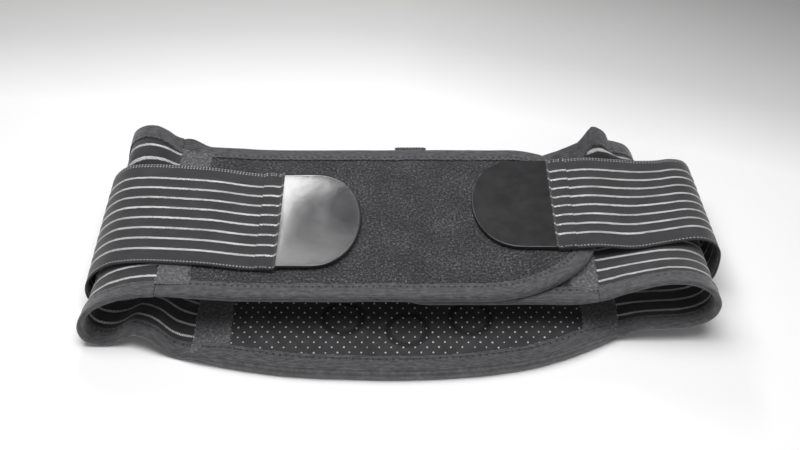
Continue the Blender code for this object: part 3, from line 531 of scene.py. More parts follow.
def dot_material():
    s = Shader("raised_dots", (0.6, 0.6, 0.61), 0.3)
    spot = object_mm(s)
    wear_and_sheen = s.noise(spot, 0.5, 3.0, 0.6)
    s.to("Base Color", s.ramp(wear_and_sheen, [(0.3, (0.32, 0.32, 0.33)), (0.6, (0.66, 0.66, 0.67))]))
    s.bumps((s.noise(spot, 3.0, 2.0, 0.6), 0.00004, 0.4))
    return s.material


def floor_material():
    """Pale paper, painted darker towards the back and more so at the back's right, as painted shade of the
    lights' falloff.
    """
    s = Shader("studio_paper", (0.86, 0.86, 0.86), 0.75)
    spot = s.node("TexCoord").outputs["Object"]
    parts = s.node("SeparateXYZ", {0: spot})
    aside = s.math("MAXIMUM", s.mul(parts.outputs[0], 0.35), 0.0)
    back = s.add(parts.outputs[1], aside)
    # painted shade: the paper's colour darkens with distance back and to the right, in place of the lights'
    # falloff
    painted_falloff = s.add(back, s.mul(s.noise(spot, 3.0, 3.0, 0.5), 0.05))
    s.to("Base Color", s.ramp(s.remap(painted_falloff, 0.20, 0.52),
                              [(0.06, (0.93, 0.93, 0.93)), (0.36, (0.64, 0.635, 0.635)),
                               (0.88, (0.37, 0.37, 0.37))]))
    return s.material


STITCH_PITCH, STITCH_INSET = 4.4, 2.6
BINDING_WIDTH, BINDING_GAP = 11.0, 0.25
STRIPE_COUNT, STRIPE_WIDTH, WING_STRIPE_COUNT = 8, 1.7, 13
STRAP_WIDTH = {"left": 93.0, "right": 90.0}
STRAP_STRIPES = {"left": (11.7, 9.6), "right": (13.2, 9.1)}  # the first stripe's place and the pitch
WING_STRIPES = (16.5, 9.8)
LOOKS = {
    **{f"strap_{side}": elastic_material(f"strap_elastic_{side}", *STRAP_STRIPES[side], STRIPE_COUNT,
                                         STRIPE_WIDTH, (1.3, width - 2.6, width - 0.9))
       for side, width in STRAP_WIDTH.items()},
    "wing": elastic_material("wing_elastic", *WING_STRIPES, WING_STRIPE_COUNT, STRIPE_WIDTH, ()),
    "pile": pile_material(),
    "tape": tape_material("binding_tape", (0.024, 0.024, 0.026), (0.064, 0.063, 0.068),
                          (0.14, 0.138, 0.146), 5.2),
    "seam": seam_material(),
    "lining": lining_material("smooth_lining", False),
    "back_lining": lining_material("back_lining_knit", True),
    "hook": hook_material(),
    "foam": foam_material(),
    "steel": steel_material(),
    "magnet": magnet_material(),
    "tab_left": tab_material("gloss_tab", (0.036, 0.036, 0.039), 0.085, 0.125),
    "tab_right": tab_material("satin_tab", (0.016, 0.016, 0.0175), 0.30, 0.42),
    "thread": thread_material("dark_thread", (0.012, 0.012, 0.013)),
    "dots": dot_material(),
}


# ---------------------------------------------------------------- mesh helpers

def make_piece(name, verts, faces, look, uv=None, sharp=50):
    """An object from points in millimetres, with uv in millimetres for each point."""
    mesh = bpy.data.meshes.new(name)
    points = (np.asarray(verts, float) - MIDDLE) * MM
    mesh.from_pydata(points.tolist(), [], [tuple(f) for f in faces])
    if uv is not None:
        layer = mesh.uv_layers.new(name="cloth")
        corner = np.zeros(len(mesh.loops), np.int32)
        mesh.loops.foreach_get("vertex_index", corner)
        layer.data.foreach_set("uv", (np.asarray(uv, float)[corner] * MM).astype(np.float32).ravel())
    mesh.materials.append(LOOKS[look])
    mesh.shade_smooth()
    mesh.set_sharp_from_angle(angle=math.radians(sharp))
    mesh.validate()
    thing = bpy.data.objects.new(name, mesh)
    bpy.context.scene.collection.objects.link(thing)
    return thing


def tube_faces(rings, around, closed_ends=True):
    """Faces of a tube of rings, each of around points."""
    faces = []
    for r in range(rings - 1):
        a, b = r * around, (r + 1) * around
        for k in range(around):
            j = (k + 1) % around
            faces.append((a + k, b + k, b + j, a + j))
    if closed_ends:
        faces.append(tuple(range(around)))
        faces.append(tuple(reversed(range((rings - 1) * around, rings * around))))
    return faces


def cloth(name, place, rows, low, high, columns, n_low, n_high, look, along, relief=None, flip=False,
          woven=None, held=None):
    """A sheet of cloth with rounded edges. rows are places along it, low and high give its edges,
    columns are distances across from 0 to 1, and relief(along, across, y) lifts its upper face.
    woven is the width that the weave is drawn for, where the cloth is stretched to its edges.
    held is not used."""
    rows = np.asarray(rows, float)
    y0, y1 = low(rows)[:, None], high(rows)[:, None]
    width = y1 - y0
    c = np.asarray(columns, float)[None, :]
    y = y0 + width * c
    if woven is not None:
        width = np.full_like(width, woven)
    across = width * c
    run = np.broadcast_to(np.asarray(along, float)[:, None], y.shape)
    lift = 0 if relief is None else relief(run, across, y)
    u = np.broadcast_to(rows[:, None], y.shape)
    thick = n_high - n_low
    top = place(u, y, n_high + lift)
    bottom = place(u, y, np.full(y.shape, float(n_low)))
    side_low = place(u[:, :1], y0 - thick * 0.35, np.full(y0.shape, n_low + thick / 2))
    side_high = place(u[:, :1], y1 + thick * 0.35, np.full(y1.shape, n_low + thick / 2))
    ring = np.concatenate([top, side_high, bottom[:, ::-1], side_low], 1)
    uv_y = np.concatenate([across, width + 0.4, across[:, ::-1], np.zeros_like(width) - 0.4], 1)
    uv_x = np.broadcast_to(run[:, :1], uv_y.shape)
    around = ring.shape[1]
    faces = tube_faces(len(rows), around, closed_ends=False)
    count = c.shape[1]
    for start, step in ((0, 1), ((len(rows) - 1) * around, -1)):
        for k in range(count - 1):
            quad = (start + k, start + k + 1, start + around - 3 - k, start + around - 2 - k)
            faces.append(quad[::step])
        faces.append((start + around - 1, start, start + around - 2)[::step])
        faces.append((start + count - 1, start + count, start + count + 1)[::step])
    if flip:
        faces = [f[::-1] for f in faces]
    piece = make_piece(name, ring.reshape(-1, 3), faces, look, np.stack([uv_x, uv_y], -1).reshape(-1, 2))
    return piece


def binding_profile(n_low, n_high, width=BINDING_WIDTH, thick=0.7, gap=BINDING_GAP):
    """Round-edged cross-section of a tape folded over an edge, as (distance in, n)."""
    half = (n_high - n_low) / 2 + gap
    middle = (n_high + n_low) / 2
    outer, inner = half + thick, half
    points = [(width, outer - 0.15), (width - 0.5, outer)]
    points += [(d, outer) for d in np.linspace(width - 2, 1.2, 7)]
    points += [(-gap - thick * math.sin(a) + (1 - math.sin(a)) * 1.2, outer * math.cos(a))
               for a in np.linspace(0.35, math.pi - 0.35, 9)]
    points += [(d, -outer) for d in np.linspace(1.2, width - 2, 7)]
    points += [(width - 0.5, -outer), (width, -outer + 0.15), (width, -inner)]
    points += [(d, -inner) for d in (width * 0.6, width * 0.3)]
    points += [(-gap * 0.8, -inner * 0.6), (-gap, 0), (-gap * 0.8, inner * 0.6)]
    points += [(d, inner) for d in (width * 0.3, width * 0.6, width)]
    return [(d, middle + n) for d, n in points]


def binding(name, placer, run, n_low, n_high, seed=0, crease=0.35):
    """A binding tape along an edge. placer(i array, d, n) gives points for the path's samples."""
    width, count = BINDING_WIDTH, len(run)
    profile = binding_profile(n_low, n_high)
    d = np.array([p[0] for p in profile])[None, :]
    n = np.array([p[1] for p in profile])[None, :]
    index = np.arange(count)[:, None]
    run = np.asarray(run, float)[:, None]
    middle = (n_high + n_low) / 2
    side = np.sign(n - middle)
    phase = np.cos(run / STITCH_PITCH * 2 * math.pi)
    at_seam = bump(d - (width - STITCH_INSET), 2.4)
    lip = np.clip((d - (width - 2.2)) / 2.2, 0, 1)
    soft = 0.30 * crumple(run + seed * 40, d * 3, 26) * np.clip(d / 4, 0, 1)
    n2 = n - side * at_seam * crease * (0.45 + 0.55 * phase)
    n2 = n2 + side * (soft * 0.4 + 0.22 * lip * (0.5 - phase * 0.5))
    d2 = d + lip * (0.35 * phase + 0.35 * crumple(run, d, 9)) + 0.25 * crumple(run + 99, n, 34)
    points = placer(np.broadcast_to(index, d2.shape), d2, n2)
    across = np.concatenate([[0], np.cumsum(np.hypot(np.diff(d[0]), np.diff(n[0])))])
    uv = np.stack(np.broadcast_arrays(run, across[None, :]), -1).reshape(-1, 2)
    faces = tube_faces(count, len(profile))
    return make_piece(name, points.reshape(-1, 3), faces, "tape", uv, sharp=70)


def stitches(name, points, normals, length, radius):
    """A row of thread stitches, one at each point pair's start, lying on the cloth."""
    verts, faces = [], []
    around, along = 6, [-1, -0.72, 0, 0.72, 1]
    for (p, q), up in zip(points, normals):
        p, q, up = np.array(p), np.array(q), np.array(up)
        axis = (q - p) / max(np.linalg.norm(q - p), 1e-6)
        side = np.cross(up, axis)
        base = len(verts)
        for t in along:
            r = radius * math.sqrt(max(1 - abs(t) ** 3, 0.06))
            sink = -0.35 * radius * t * t * 2
            for k in range(around):
                a = 2 * math.pi * k / around
                verts.append(p + axis * t * length / 2 + side * r * math.cos(a)
                             + up * (r * math.sin(a) * 0.8 + sink))
        faces += [tuple(base + v for v in f) for f in tube_faces(len(along), around)]
    return make_piece(name, verts, faces, "thread")


def stitch_row(name, place_row, start, end, pitch, **shape):
    """Stitches along a line; place_row(t, lift) gives the point at t millimetres along it."""
    ts = np.arange(start + pitch / 2, end - pitch / 2 + 1e-6, pitch)
    here, ahead, above = place_row(ts, 0.0), place_row(ts + 0.5, 0.0), place_row(ts, 1.0)
    ups = above - here
    ups /= np.linalg.norm(ups, axis=1)[:, None]
    return stitches(name, list(zip(here, ahead)), ups, **shape)


def ride(piece, body, slot, *nodes):
    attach(piece, body)
    if nodes:
        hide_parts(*nodes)
    return piece


def bend(piece, a, b, start, end, slot, *nodes):
    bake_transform(piece)
    if nodes:
        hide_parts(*nodes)
    return piece


def stripe_columns(width, first, pitch, count):
    """Distances across a striped cloth, from 0 to 1, with points on and beside each stripe."""
    at = {0.0, 0.8, width - 0.8, width}
    at |= set(np.linspace(0, width, max(int(width / 4.5), 4)).tolist())
    for k in range(count):
        middle = first + pitch * k
        at |= {middle + d for d in (-1.5, -0.9, 0.0, 0.9, 1.5) if 0 < middle + d < width}
    found = sorted(at)
    kept = [found[0]]
    for value in found[1:-1]:
        if value - kept[-1] > 0.45 and width - value > 0.45:
            kept.append(value)
    return np.array(kept + [width]) / width


def stripe_relief(first, pitch, count, height):
    def relief(along, across, y):
        nearest = np.clip(np.round((across - first) / pitch), 0, count - 1)
        return height * bump(across - first - nearest * pitch, 1.5)
    return relief


# ---------------------------------------------------------------- camera, floor and light

scene = bpy.context.scene
camera = bpy.data.objects.new("camera", bpy.data.cameras.new("camera"))
camera.location = (np.array((0.0, -567.77, 587.95)) - MIDDLE) * MM
camera.rotation_euler = (math.radians(46.0), 0, 0)
camera.data.lens, camera.data.sensor_width = 51.5, 36.0
scene.collection.objects.link(camera)
scene.camera = camera
scene.view_settings.view_transform = "Standard"


def area_light(name, place, aim, size, power):
    data = bpy.data.lights.new(name, "AREA")
    data.shape, data.size, data.size_y, data.energy = "RECTANGLE", *size, power
    lamp = bpy.data.objects.new(name, data)
    lamp.location = place
    lamp.rotation_euler = (Vector(aim) - Vector(place)).to_track_quat("-Z", "Y").to_euler()
    scene.collection.objects.link(lamp)
    return lamp


area_light("overhead", (-0.05, -0.10, 0.95), (0, -0.03, 0), (0.9, 0.5), 10.0)
area_light("front_fill", (0.1, -1.2, 0.7), (0, 0, 0.02), (1.2, 0.5), 2.6)
softbox = area_light("softbox", (-0.2085, 0.789, 0.723), (-0.09, 0.03, 0.048), (0.34, 0.13), 1.85)
softbox.rotation_euler.rotate_axis("Z", math.radians(43))
area_light("low_strip", (-0.145, 0.60, 0.735), (-0.07, -0.03, 0.048), (0.15, 0.09), 0.17)
world = bpy.data.worlds.new("studio")
world.use_nodes = True
world.node_tree.nodes["Background"].inputs["Color"].default_value = (1.0, 0.995, 0.99, 1)
world.node_tree.nodes["Background"].inputs["Strength"].default_value = 0.09
scene.world = world

floor_mesh = bpy.data.meshes.new("floor")
floor_mesh.from_pydata([(-4, -4, 0), (4, -4, 0), (4, 4, 0), (-4, 4, 0)], [], [(0, 1, 2, 3)])
floor_mesh.materials.append(floor_material())
floor = bpy.data.objects.new("floor", floor_mesh)
floor.location.z = -0.0004
scene.collection.objects.link(floor)
floor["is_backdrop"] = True


# ---------------------------------------------------------------- pull straps

# near and far edges, at the tab and at the fold
STRAP_Y = {"left": ((-49.0, 45.0), (-43.0, 48.5)), "right": ((-29.5, 59.5), (-29.0, 61.0))}
STRAP_COLUMNS = {side: stripe_columns(STRAP_WIDTH[side], *STRAP_STRIPES[side], STRIPE_COUNT)
                 for side in STRAP}
HEM, HEM_LAP, HEM_RISE = 13.0, 1.0, 2.1


def strap_edges(side):
    at_tab, at_fold = STRAP_Y[side]
    return ramp(at_tab[0], at_fold[0], 0, 5), ramp(at_tab[1], at_fold[1], 0, 5)


def rows_between(low, high, step=0.09):
    return np.linspace(low, high, max(int(round((high - low) / step)), 2) + 1)


def strap_relief(side):
    """Raised stripes, soft unevenness, and the pull of the hem seams near the tab."""
    def relief(along, across, y):
        ridges = stripe_relief(*STRAP_STRIPES[side], STRIPE_COUNT, 0.22)(along, across, y)
        waves = 0.12 * crumple(along, across, 30)
        seam = -0.35 * bump(along - HEM, 1.6) - 0.25 * bump(along - 1.5, 1.2)
        pucker = 0.12 * np.cos(across / 4.8 * math.pi) * bump(along - HEM, 7.0)
        return ridges + waves + seam + pucker
    return relief


def strap_cloth(side, name, low, high):
    band = STRAP[side]
    near, far = strap_edges(side)
    rows = rows_between(low, high)
    return cloth(name, band.place, rows, near, far, STRAP_COLUMNS[side], 0.05, 1.5, f"strap_{side}",
                 np.interp(rows, *band.path(60)), strap_relief(side), flip=side == "right",
                 woven=STRAP_WIDTH[side], held="stretched")


def strap_hem(side):
    """The folded end of a strap, sewn through twice, lapping on to the tab's straight edge."""
    band = STRAP[side]
    near, far = strap_edges(side)
    whole = np.linspace(0, 3, 60)
    lengths = band.lengths(whole)
    out = 1.0 if side == "left" else -1.0
    rows = np.linspace(-HEM_LAP, HEM, 22)
    seams = (HEM - 1.6, 1.8 - HEM_LAP)

    def u_at(s):
        return np.interp(np.maximum(s, 0), lengths, whole)

    def place(s, y, n):
        s, y, n = np.broadcast_arrays(*(np.asarray(v, float) for v in (s, y, n)))
        points = band.place(u_at(s), y, n)
        over = np.clip((2.0 - s) / 3.0, 0, 1)
        points[..., 0] += out * np.maximum(-s, 0)
        points[..., 2] += over * over * (3 - 2 * over) * HEM_RISE
        return points

    def relief(along, across, y):
        ridges = stripe_relief(*STRAP_STRIPES[side], STRIPE_COUNT, 0.3)(along, across, y)
        drawn = -0.3 * (bump(along - seams[0], 1.3) + bump(along - seams[1], 1.2))
        folded = 0.25 * bump(along - HEM / 2, 6.0)
        return ridges + drawn + folded + 0.12 * np.cos(across / 4.8 * math.pi)

    def low(s):
        return near(u_at(s)) - 0.2

    def high(s):
        return far(u_at(s)) + 0.2

    piece = cloth(f"strap_{side}_hem_fold", place, rows, low, high, STRAP_COLUMNS[side], 1.62, 2.5,
                  f"strap_{side}", rows + 0.6 * np.sin(rows * 0.9), relief, flip=side == "right",
                  woven=STRAP_WIDTH[side], held="folded")
    threads = []
    for number, s in enumerate(seams, 1):
        y0, y1 = (float(f(np.array([s]))[0]) for f in (low, high))
        threads.append(stitch_row(
            f"strap_{side}_hem_stitches_{number}",
            lambda t, lift, s=s, y0=y0: place(np.full(t.shape, s), y0 + t, 2.35 + lift),
            2.0, y1 - y0 - 2.0, 2.9, length=2.1, radius=0.24))
    return piece, threads


TAB_X = {"left": -83.0, "right": 106.0}
TAB_LENGTH, TAB_HALF_WIDTH = 56.0, {"left": 45.0, "right": 43.8}
TAB_MIDDLE_Y = {"left": -2.0, "right": 14.6}
TAB_Z = (45.2, 47.8)


def tab_plate(side):
    """The moulded tab: a D with a rounded rim, slightly bowed where the strap pulls on it."""
    out = 1 if side == "left" else -1
    straight = TAB_LENGTH * 0.35
    count = 72
    half_turn = np.linspace(-math.pi / 2, math.pi / 2, count)
    reach = np.where(np.abs(half_turn) < math.pi / 2 - 1e-6,
                     straight + (TAB_LENGTH - straight) * np.cos(half_turn).clip(0, 1) ** 0.8, straight)
    half = TAB_HALF_WIDTH[side]
    rim = [(0.3, -half)] + [(0.3 + r, half * math.sin(a)) for r, a in zip(reach, half_turn)]
    rim += [(0.3, y) for y in np.linspace(half, -half, 14)[:-1]]
    rim = np.array(rim)
    centre = np.array((straight * 0.9, 0.0))
    low, high = TAB_Z
    # millimetres in from the rim, and height, from the underside round to the upper face
    shells = [(0.55, low + 0.05), (0.12, low + 0.35), (0.0, low + 0.8), (0.0, high - 0.45),
              (0.09, high - 0.18), (0.30, high - 0.03), (0.6, high), (1.2, high - 0.02), (2.7, high - 0.06)]
    offset = rim - centre
    far = np.linalg.norm(offset, axis=1)[:, None]
    outlines = [(centre + offset * (1 - inset / far), z) for inset, z in shells]
    inner, top = outlines[-1]
    outlines += [(centre + (inner - centre) * share, top) for share in np.linspace(0.92, 0.08, 14)]
    rings = [np.column_stack([p, np.full(len(p), z)]) for p, z in outlines]
    verts = np.concatenate(rings)
    x, y = verts[:, 0], verts[:, 1]
    upper = verts[:, 2] > high - 0.9
    bow = 0.35 * bump(x - 4, 26) * (0.4 + 0.6 * np.cos(y / 26))
    bow = bow + 0.10 * crumple(x + (0 if out > 0 else 50), y, 60)
    verts[:, 2] += np.where(upper, bow, 0)
    verts[:, 0] = TAB_X[side] + out * verts[:, 0]
    verts[:, 1] += TAB_MIDDLE_Y[side]
    faces = tube_faces(len(rings), len(rim))
    if out > 0:
        faces = [f[::-1] for f in faces]
    return make_piece(f"tab_{side}_plate", verts, faces, f"tab_{side}", sharp=35)


for side in ("left", "right"):
    last = len(STRAP[side].sections[0][1]) - 1.0
    front = strap_cloth(side, f"strap_{side}_front_cloth", 0.0, 2.3 if side == "left" else 2.6)
    hem, threads = strap_hem(side)
    tab = tab_plate(side)
    if side == "left":
        top = strap_cloth(side, "strap_left_top_cloth", 2.3, 5.0)
        under = strap_cloth(side, "strap_left_under_cloth", 5.0, last)
        bend(front, "left_front", "left_strap", (-131, 0, 48), (-117, 0, 48), "elastic_webbing",
             "strap_left_front")
        bend(top, "back", "left_front", (-172, 0, 48), (-157, 0, 48), "elastic_webbing", "strap_left_base")
        ride(under, "back", "elastic_webbing", "strap_left_back")
    else:
        top = strap_cloth(side, "strap_right_top_cloth", 2.6, 6.5)
        outer = strap_cloth(side, "strap_right_bend_cloth", 6.5, 8.8)
        under = strap_cloth(side, "strap_right_under_cloth", 8.8, last)
        bend(front, "right_strap_base", "right_strap", (156, 0, 47), (143, 0, 47), "elastic_webbing",
             "strap_right_front")
        ride(top, "right_strap_base", "elastic_webbing", "strap_right_base")
        bend(outer, "back", "right_strap_base", (212, 0, 20), (212, 0, 38), "elastic_webbing")
        ride(under, "back", "elastic_webbing", "strap_right_back")
    crease = [(x, 0, 47) for x in ((-89, -81) if side == "left" else (112, 104))]
    bend(hem, f"{side}_strap", f"{side}_tab", *crease, "elastic_webbing", f"strap_{side}_hem")
    for row in threads:
        bend(row, f"{side}_strap", f"{side}_tab", *crease, "elastic_webbing")
    ride(tab, f"{side}_tab", "tab_plastic", f"tab_{side}")


# ---------------------------------------------------------------- elastic wings

LEFT_BACK_EDGE, RIGHT_BACK_EDGE = 17.9, 16.15
# band; u at the front panel's seam, at the wing's end under the back, at the fold, and at the back's
# edge; and the near and far y of the front panel
WING = {
    "left": (LEFT, 6.0, 19.0, 8.0, LEFT_BACK_EDGE, FRONT_NEAR_Y, FRONT_FAR_Y),
    "right": (RIGHT, 4.0, 18.0, 6.0, RIGHT_BACK_EDGE, INNER_NEAR_Y, INNER_FAR_Y),
}
WING_HINGE = {"left": ((-172, 0, 44), (-157, 0, 44)), "right": ((144, 0, 36), (130, 0, 36))}
WING_COLUMNS = stripe_columns(152.0, *WING_STRIPES, WING_STRIPE_COUNT)


def wing_edges(side):
    _, start, _, _, back_edge, near, far = WING[side]
    across = ramp(near, WING_NEAR[side], start, start + 6)
    spread = ramp(0, BACK_NEAR[0][1] - WING_NEAR["left"] if side == "left" else 0, 15.0, back_edge)
    return lambda u: across(u) + spread(u), ramp(far, WING_FAR, start, start + 1.5)


def wing_relief(along, across, y):
    """Raised stripes, with slight puckers where the binding draws the cloth in."""
    ridges = stripe_relief(*WING_STRIPES, WING_STRIPE_COUNT, 0.15)(along, across, y)
    by_tape = np.clip(1 - (across - 10) / 16, 0, 1) * np.clip(across / 8, 0, 1)
    return ridges + 0.18 * np.cos(along / 6.5 * math.pi) * by_tape + 0.10 * crumple(along, across, 28)


def wing_cloth(side, name, low, high):
    band = WING[side][0]
    near, far = wing_edges(side)
    rows = rows_between(low, high, 0.08)
    return cloth(name, band.place, rows, near, far, WING_COLUMNS, 0.2, 1.8, "wing",
                 np.interp(rows, *band.path(80)), wing_relief, flip=side == "right", held="stretched")


for side in ("left", "right"):
    _, start, end, turn, _, _, _ = WING[side]
    top = wing_cloth(side, f"wing_{side}_top_cloth", start, turn)
    fold = wing_cloth(side, f"wing_{side}_fold_cloth", turn, end)
    bend(top, "back", f"{side}_front", *WING_HINGE[side], "elastic_webbing")
    ride(fold, "back", "elastic_webbing", f"wing_{side}")


# ---------------------------------------------------------------- front panels

def quarter(corner, start, end, count):
    t = np.linspace(0, math.pi / 2, count + 1)
    c, s, e = (np.array(p, float) for p in (corner, start, end))
    return c + np.outer(np.cos(t), s - c) + np.outer(np.sin(t), e - c)


def resampled(points, step):
    """The line through points again, with a point about every step, and the lengths along it."""
    points = np.asarray(points, float)
    run = np.concatenate([[0], np.cumsum(np.linalg.norm(np.diff(points, axis=0), axis=1))])
    lengths = np.linspace(0, run[-1], int(round(run[-1] / step)) + 1)
    return np.column_stack([np.interp(lengths, run, points[:, k]) for k in (0, 1)]), lengths


def outer_outline():
    near = quarter((51, -5), (51, FRONT_NEAR_Y), (FRONT_TIP_X, -5), 48)
    far = quarter((77, 25), (FRONT_TIP_X, 25), (77, FRONT_FAR_Y), 48)
    return [(FRONT_SEAM_X[0], FRONT_NEAR_Y), *near, *far, (FRONT_SEAM_X[0], FRONT_FAR_Y)]


def inner_outline():
    x = INNER_TIP_X + INNER_CORNER
    far_y, near_y = INNER_FAR_Y - INNER_CORNER, INNER_NEAR_Y + INNER_CORNER
    far = quarter((x, far_y), (x, INNER_FAR_Y), (INNER_TIP_X, far_y), 24)
    near = quarter((x, near_y), (INNER_TIP_X, near_y), (x, INNER_NEAR_Y), 24)
    return [(INNER_SEAM_X[1], INNER_FAR_Y), *far, *near, (INNER_SEAM_X[1], INNER_NEAR_Y)]


def edge_distance(outline, x, y):
    """How far each point is from an open outline."""
    best = np.full(x.shape, 1e9)
    points = np.asarray(outline, float)
    for (x0, y0), (x1, y1) in zip(points[:-1], points[1:]):
        dx, dy = x1 - x0, y1 - y0
        t = np.clip(((x - x0) * dx + (y - y0) * dy) / (dx * dx + dy * dy + 1e-9), 0, 1)
        best = np.minimum(best, np.hypot(x - x0 - t * dx, y - y0 - t * dy))
    return best


def edges_at(outline, xs):
    """The lowest and highest y of an outline at each x."""
    points = np.asarray(outline, float)
    towards_right = points[0, 1] < points[-1, 1]
    tip = np.argmax(points[:, 0]) if towards_right else np.argmin(points[:, 0])
    found = []
    for part in (points[:tip + 1], points[tip:]):
        order = np.argsort(part[:, 0], kind="stable")
        found.append(np.interp(xs, part[order, 0], part[order, 1]))
    return np.minimum(*found), np.maximum(*found)


def panel_layer(name, place, outline, x_low, x_high, n_low, n_high, look, relief, step):
    """One layer of a front panel: rows across x, with relief(x, y, inset) on its upper face."""
    tip_high = max(p[0] for p in outline)
    tip_low = min(p[0] for p in outline)
    xs = np.linspace(max(x_low, tip_low + 0.15), min(x_high, tip_high - 0.15), int((x_high - x_low) / step))
    low, high = edges_at(outline, xs)
    columns = np.linspace(0, 1, int(max(high - low) / step) + 1)

    def lift(along, across, y):
        x = np.broadcast_to(xs[:, None], y.shape)
        return relief(x, y, edge_distance(outline, x, y))

    return cloth(name, place, xs, lambda x: np.interp(x, xs, low), lambda x: np.interp(x, xs, high),
                 columns, n_low, n_high, look, xs - xs[0], lift,
                 held="stretched" if look == "lining" else None)


def puffed(xs, low, high, sewn, columns=44, frames=20):
    """How far a pad's cover is pushed out between its seams, from 0 to 1, as a function of (x, y).
    low and high are the cover's edges at each x, and sewn(x, y) is true where a seam holds it."""
    share = np.linspace(0, 1, columns)
    x = np.broadcast_to(xs[:, None], (len(xs), columns))
    y = low[:, None] * (1 - share) + high[:, None] * share
    mesh = bpy.data.meshes.new("cover")
    points = np.stack([x, y, np.zeros_like(x)], -1).reshape(-1, 3) * MM
    quads = [(i * columns + k, (i + 1) * columns + k, (i + 1) * columns + k + 1, i * columns + k + 1)
             for i in range(len(xs) - 1) for k in range(columns - 1)]
    mesh.from_pydata(points.tolist(), [], quads)
    cover = bpy.data.objects.new("cover", mesh)
    scene.collection.objects.link(cover)
    border = np.zeros(x.shape, bool)
    border[[0, -1]] = border[:, [0, -1]] = True
    held = np.flatnonzero((border | sewn(x, y)).ravel())
    cover.vertex_groups.new(name="sewn").add(held.tolist(), 1.0, "REPLACE")
    change = cover.modifiers.new("cover", "CLOTH")
    rules = change.settings
    rules.quality, rules.mass = 5, 0.15
    rules.tension_stiffness = rules.compression_stiffness = 12.0
    rules.bending_stiffness = 0.8
    rules.vertex_group_mass = "sewn"
    rules.use_pressure, rules.uniform_pressure_force = True, 4.0
    rules.effector_weights.gravity = 0
    for frame_number in range(1, frames + 1):
        scene.frame_set(frame_number)
    found = cover.evaluated_get(bpy.context.evaluated_depsgraph_get()).to_mesh()
    flat_points = np.zeros(len(found.vertices) * 3)
    found.vertices.foreach_get("co", flat_points)
    height = np.abs(flat_points.reshape(-1, 3)[:, 2]).reshape(x.shape)
    scene.frame_set(1)
    bpy.data.objects.remove(cover)
    bpy.data.meshes.remove(mesh)
    height = height / max(np.percentile(height, 98), 1e-6)
    height = np.clip(height, 0, 1)

    def at(px, py):
        """The simulated height at points, read off the grid between its four nearest nodes."""
        i = np.clip(np.interp(px, xs, np.arange(len(xs))), 0, len(xs) - 1.001)
        y0, y1 = np.interp(px, xs, low), np.interp(px, xs, high)
        k = np.clip((py - y0) / (y1 - y0) * (columns - 1), 0, columns - 1.001)
        a, b, s, t = i.astype(int), k.astype(int), i % 1, k % 1
        return ((height[a, b] * (1 - t) + height[a, b + 1] * t) * (1 - s)
                + (height[a + 1, b] * (1 - t) + height[a + 1, b + 1] * t) * s)
    return at


def panel_puff(outline, x_low, x_high):
    xs = np.linspace(x_low, x_high, 76)
    low, high = edges_at(outline, xs)
    low, high = low + 9.0, np.maximum(high - 9.0, low + 12.0)
    return puffed(xs, low, high, lambda x, y: np.zeros(x.shape, bool))


def pile_relief(puff, rise):
    """Tucked under the binding, puffed up inside it by rise, and rough with loops."""
    def relief(x, y, inset):
        tucked = -0.7 * (1 - np.clip((inset - 8) / 7, 0, 1) ** 0.6)
        crown = rise * puff(x, y)
        fuzz = rng.normal(0, 0.16, x.shape) * np.clip((inset - 9) / 3, 0.1, 1)
        return tucked + crown + fuzz + 0.35 * crumple(x, y, 55) * np.clip((inset - 10) / 20, 0, 1)
    return relief


def still(x, y, inset):
    return 0.08 * crumple(x, y, 24)


def outline_binding(name, place, outline, n_low, n_high, taper, seed):
    points, run = resampled(outline, 1.1)
    step = np.gradient(points, axis=0)
    step /= np.linalg.norm(step, axis=1)[:, None]
    low, high = taper(points[:, 0], n_low, n_high)
    middle, half = (n_low + n_high) / 2, (n_high - n_low) / 2

    def placer(i, d, n):
        thin = (high - low)[i] / 2 / half
        n = (low + high)[i] / 2 + (n - middle) * thin
        x = points[i, 0] - step[i, 1] * d
        y = points[i, 1] + step[i, 0] * d
        return place(x, y, n)

    return binding(name, placer, run, n_low, n_high, seed), placer, run


def binding_stitches(name, placer, run, n_face):
    """The row of stitches near the inner edge of a binding, in the dimples its seam draws in."""
    index = np.arange(len(run))

    def row(t, lift):
        i = np.interp(t, run, index)
        low = np.floor(i).astype(int).clip(0, len(run) - 2)
        share = (i - low)[:, None]
        d = np.full(t.shape, BINDING_WIDTH - STITCH_INSET)
        n = np.full(t.shape, n_face + lift)
        return placer(low, d, n) * (1 - share) + placer(low + 1, d, n) * share

    return stitch_row(name, row, 0.0, run[-1], STITCH_PITCH, length=2.7, radius=0.30)


def seam_taper(x_from, x_to):
    """Thins a panel's binding towards its seam, so that it meets the wing's."""
    def taper(x, low, high):
        t = np.clip((x - x_from) / (x_to - x_from), 0, 1)
        t = t * t * (3 - 2 * t)
        return low + (SEAM_LOW - low) * t, high + (SEAM_HIGH - high) * t
    return taper


SEAM_LOW, SEAM_HIGH = 0.0, 2.0
LINING_N, PILE_LOW = (-0.9, 0.4), 0.55
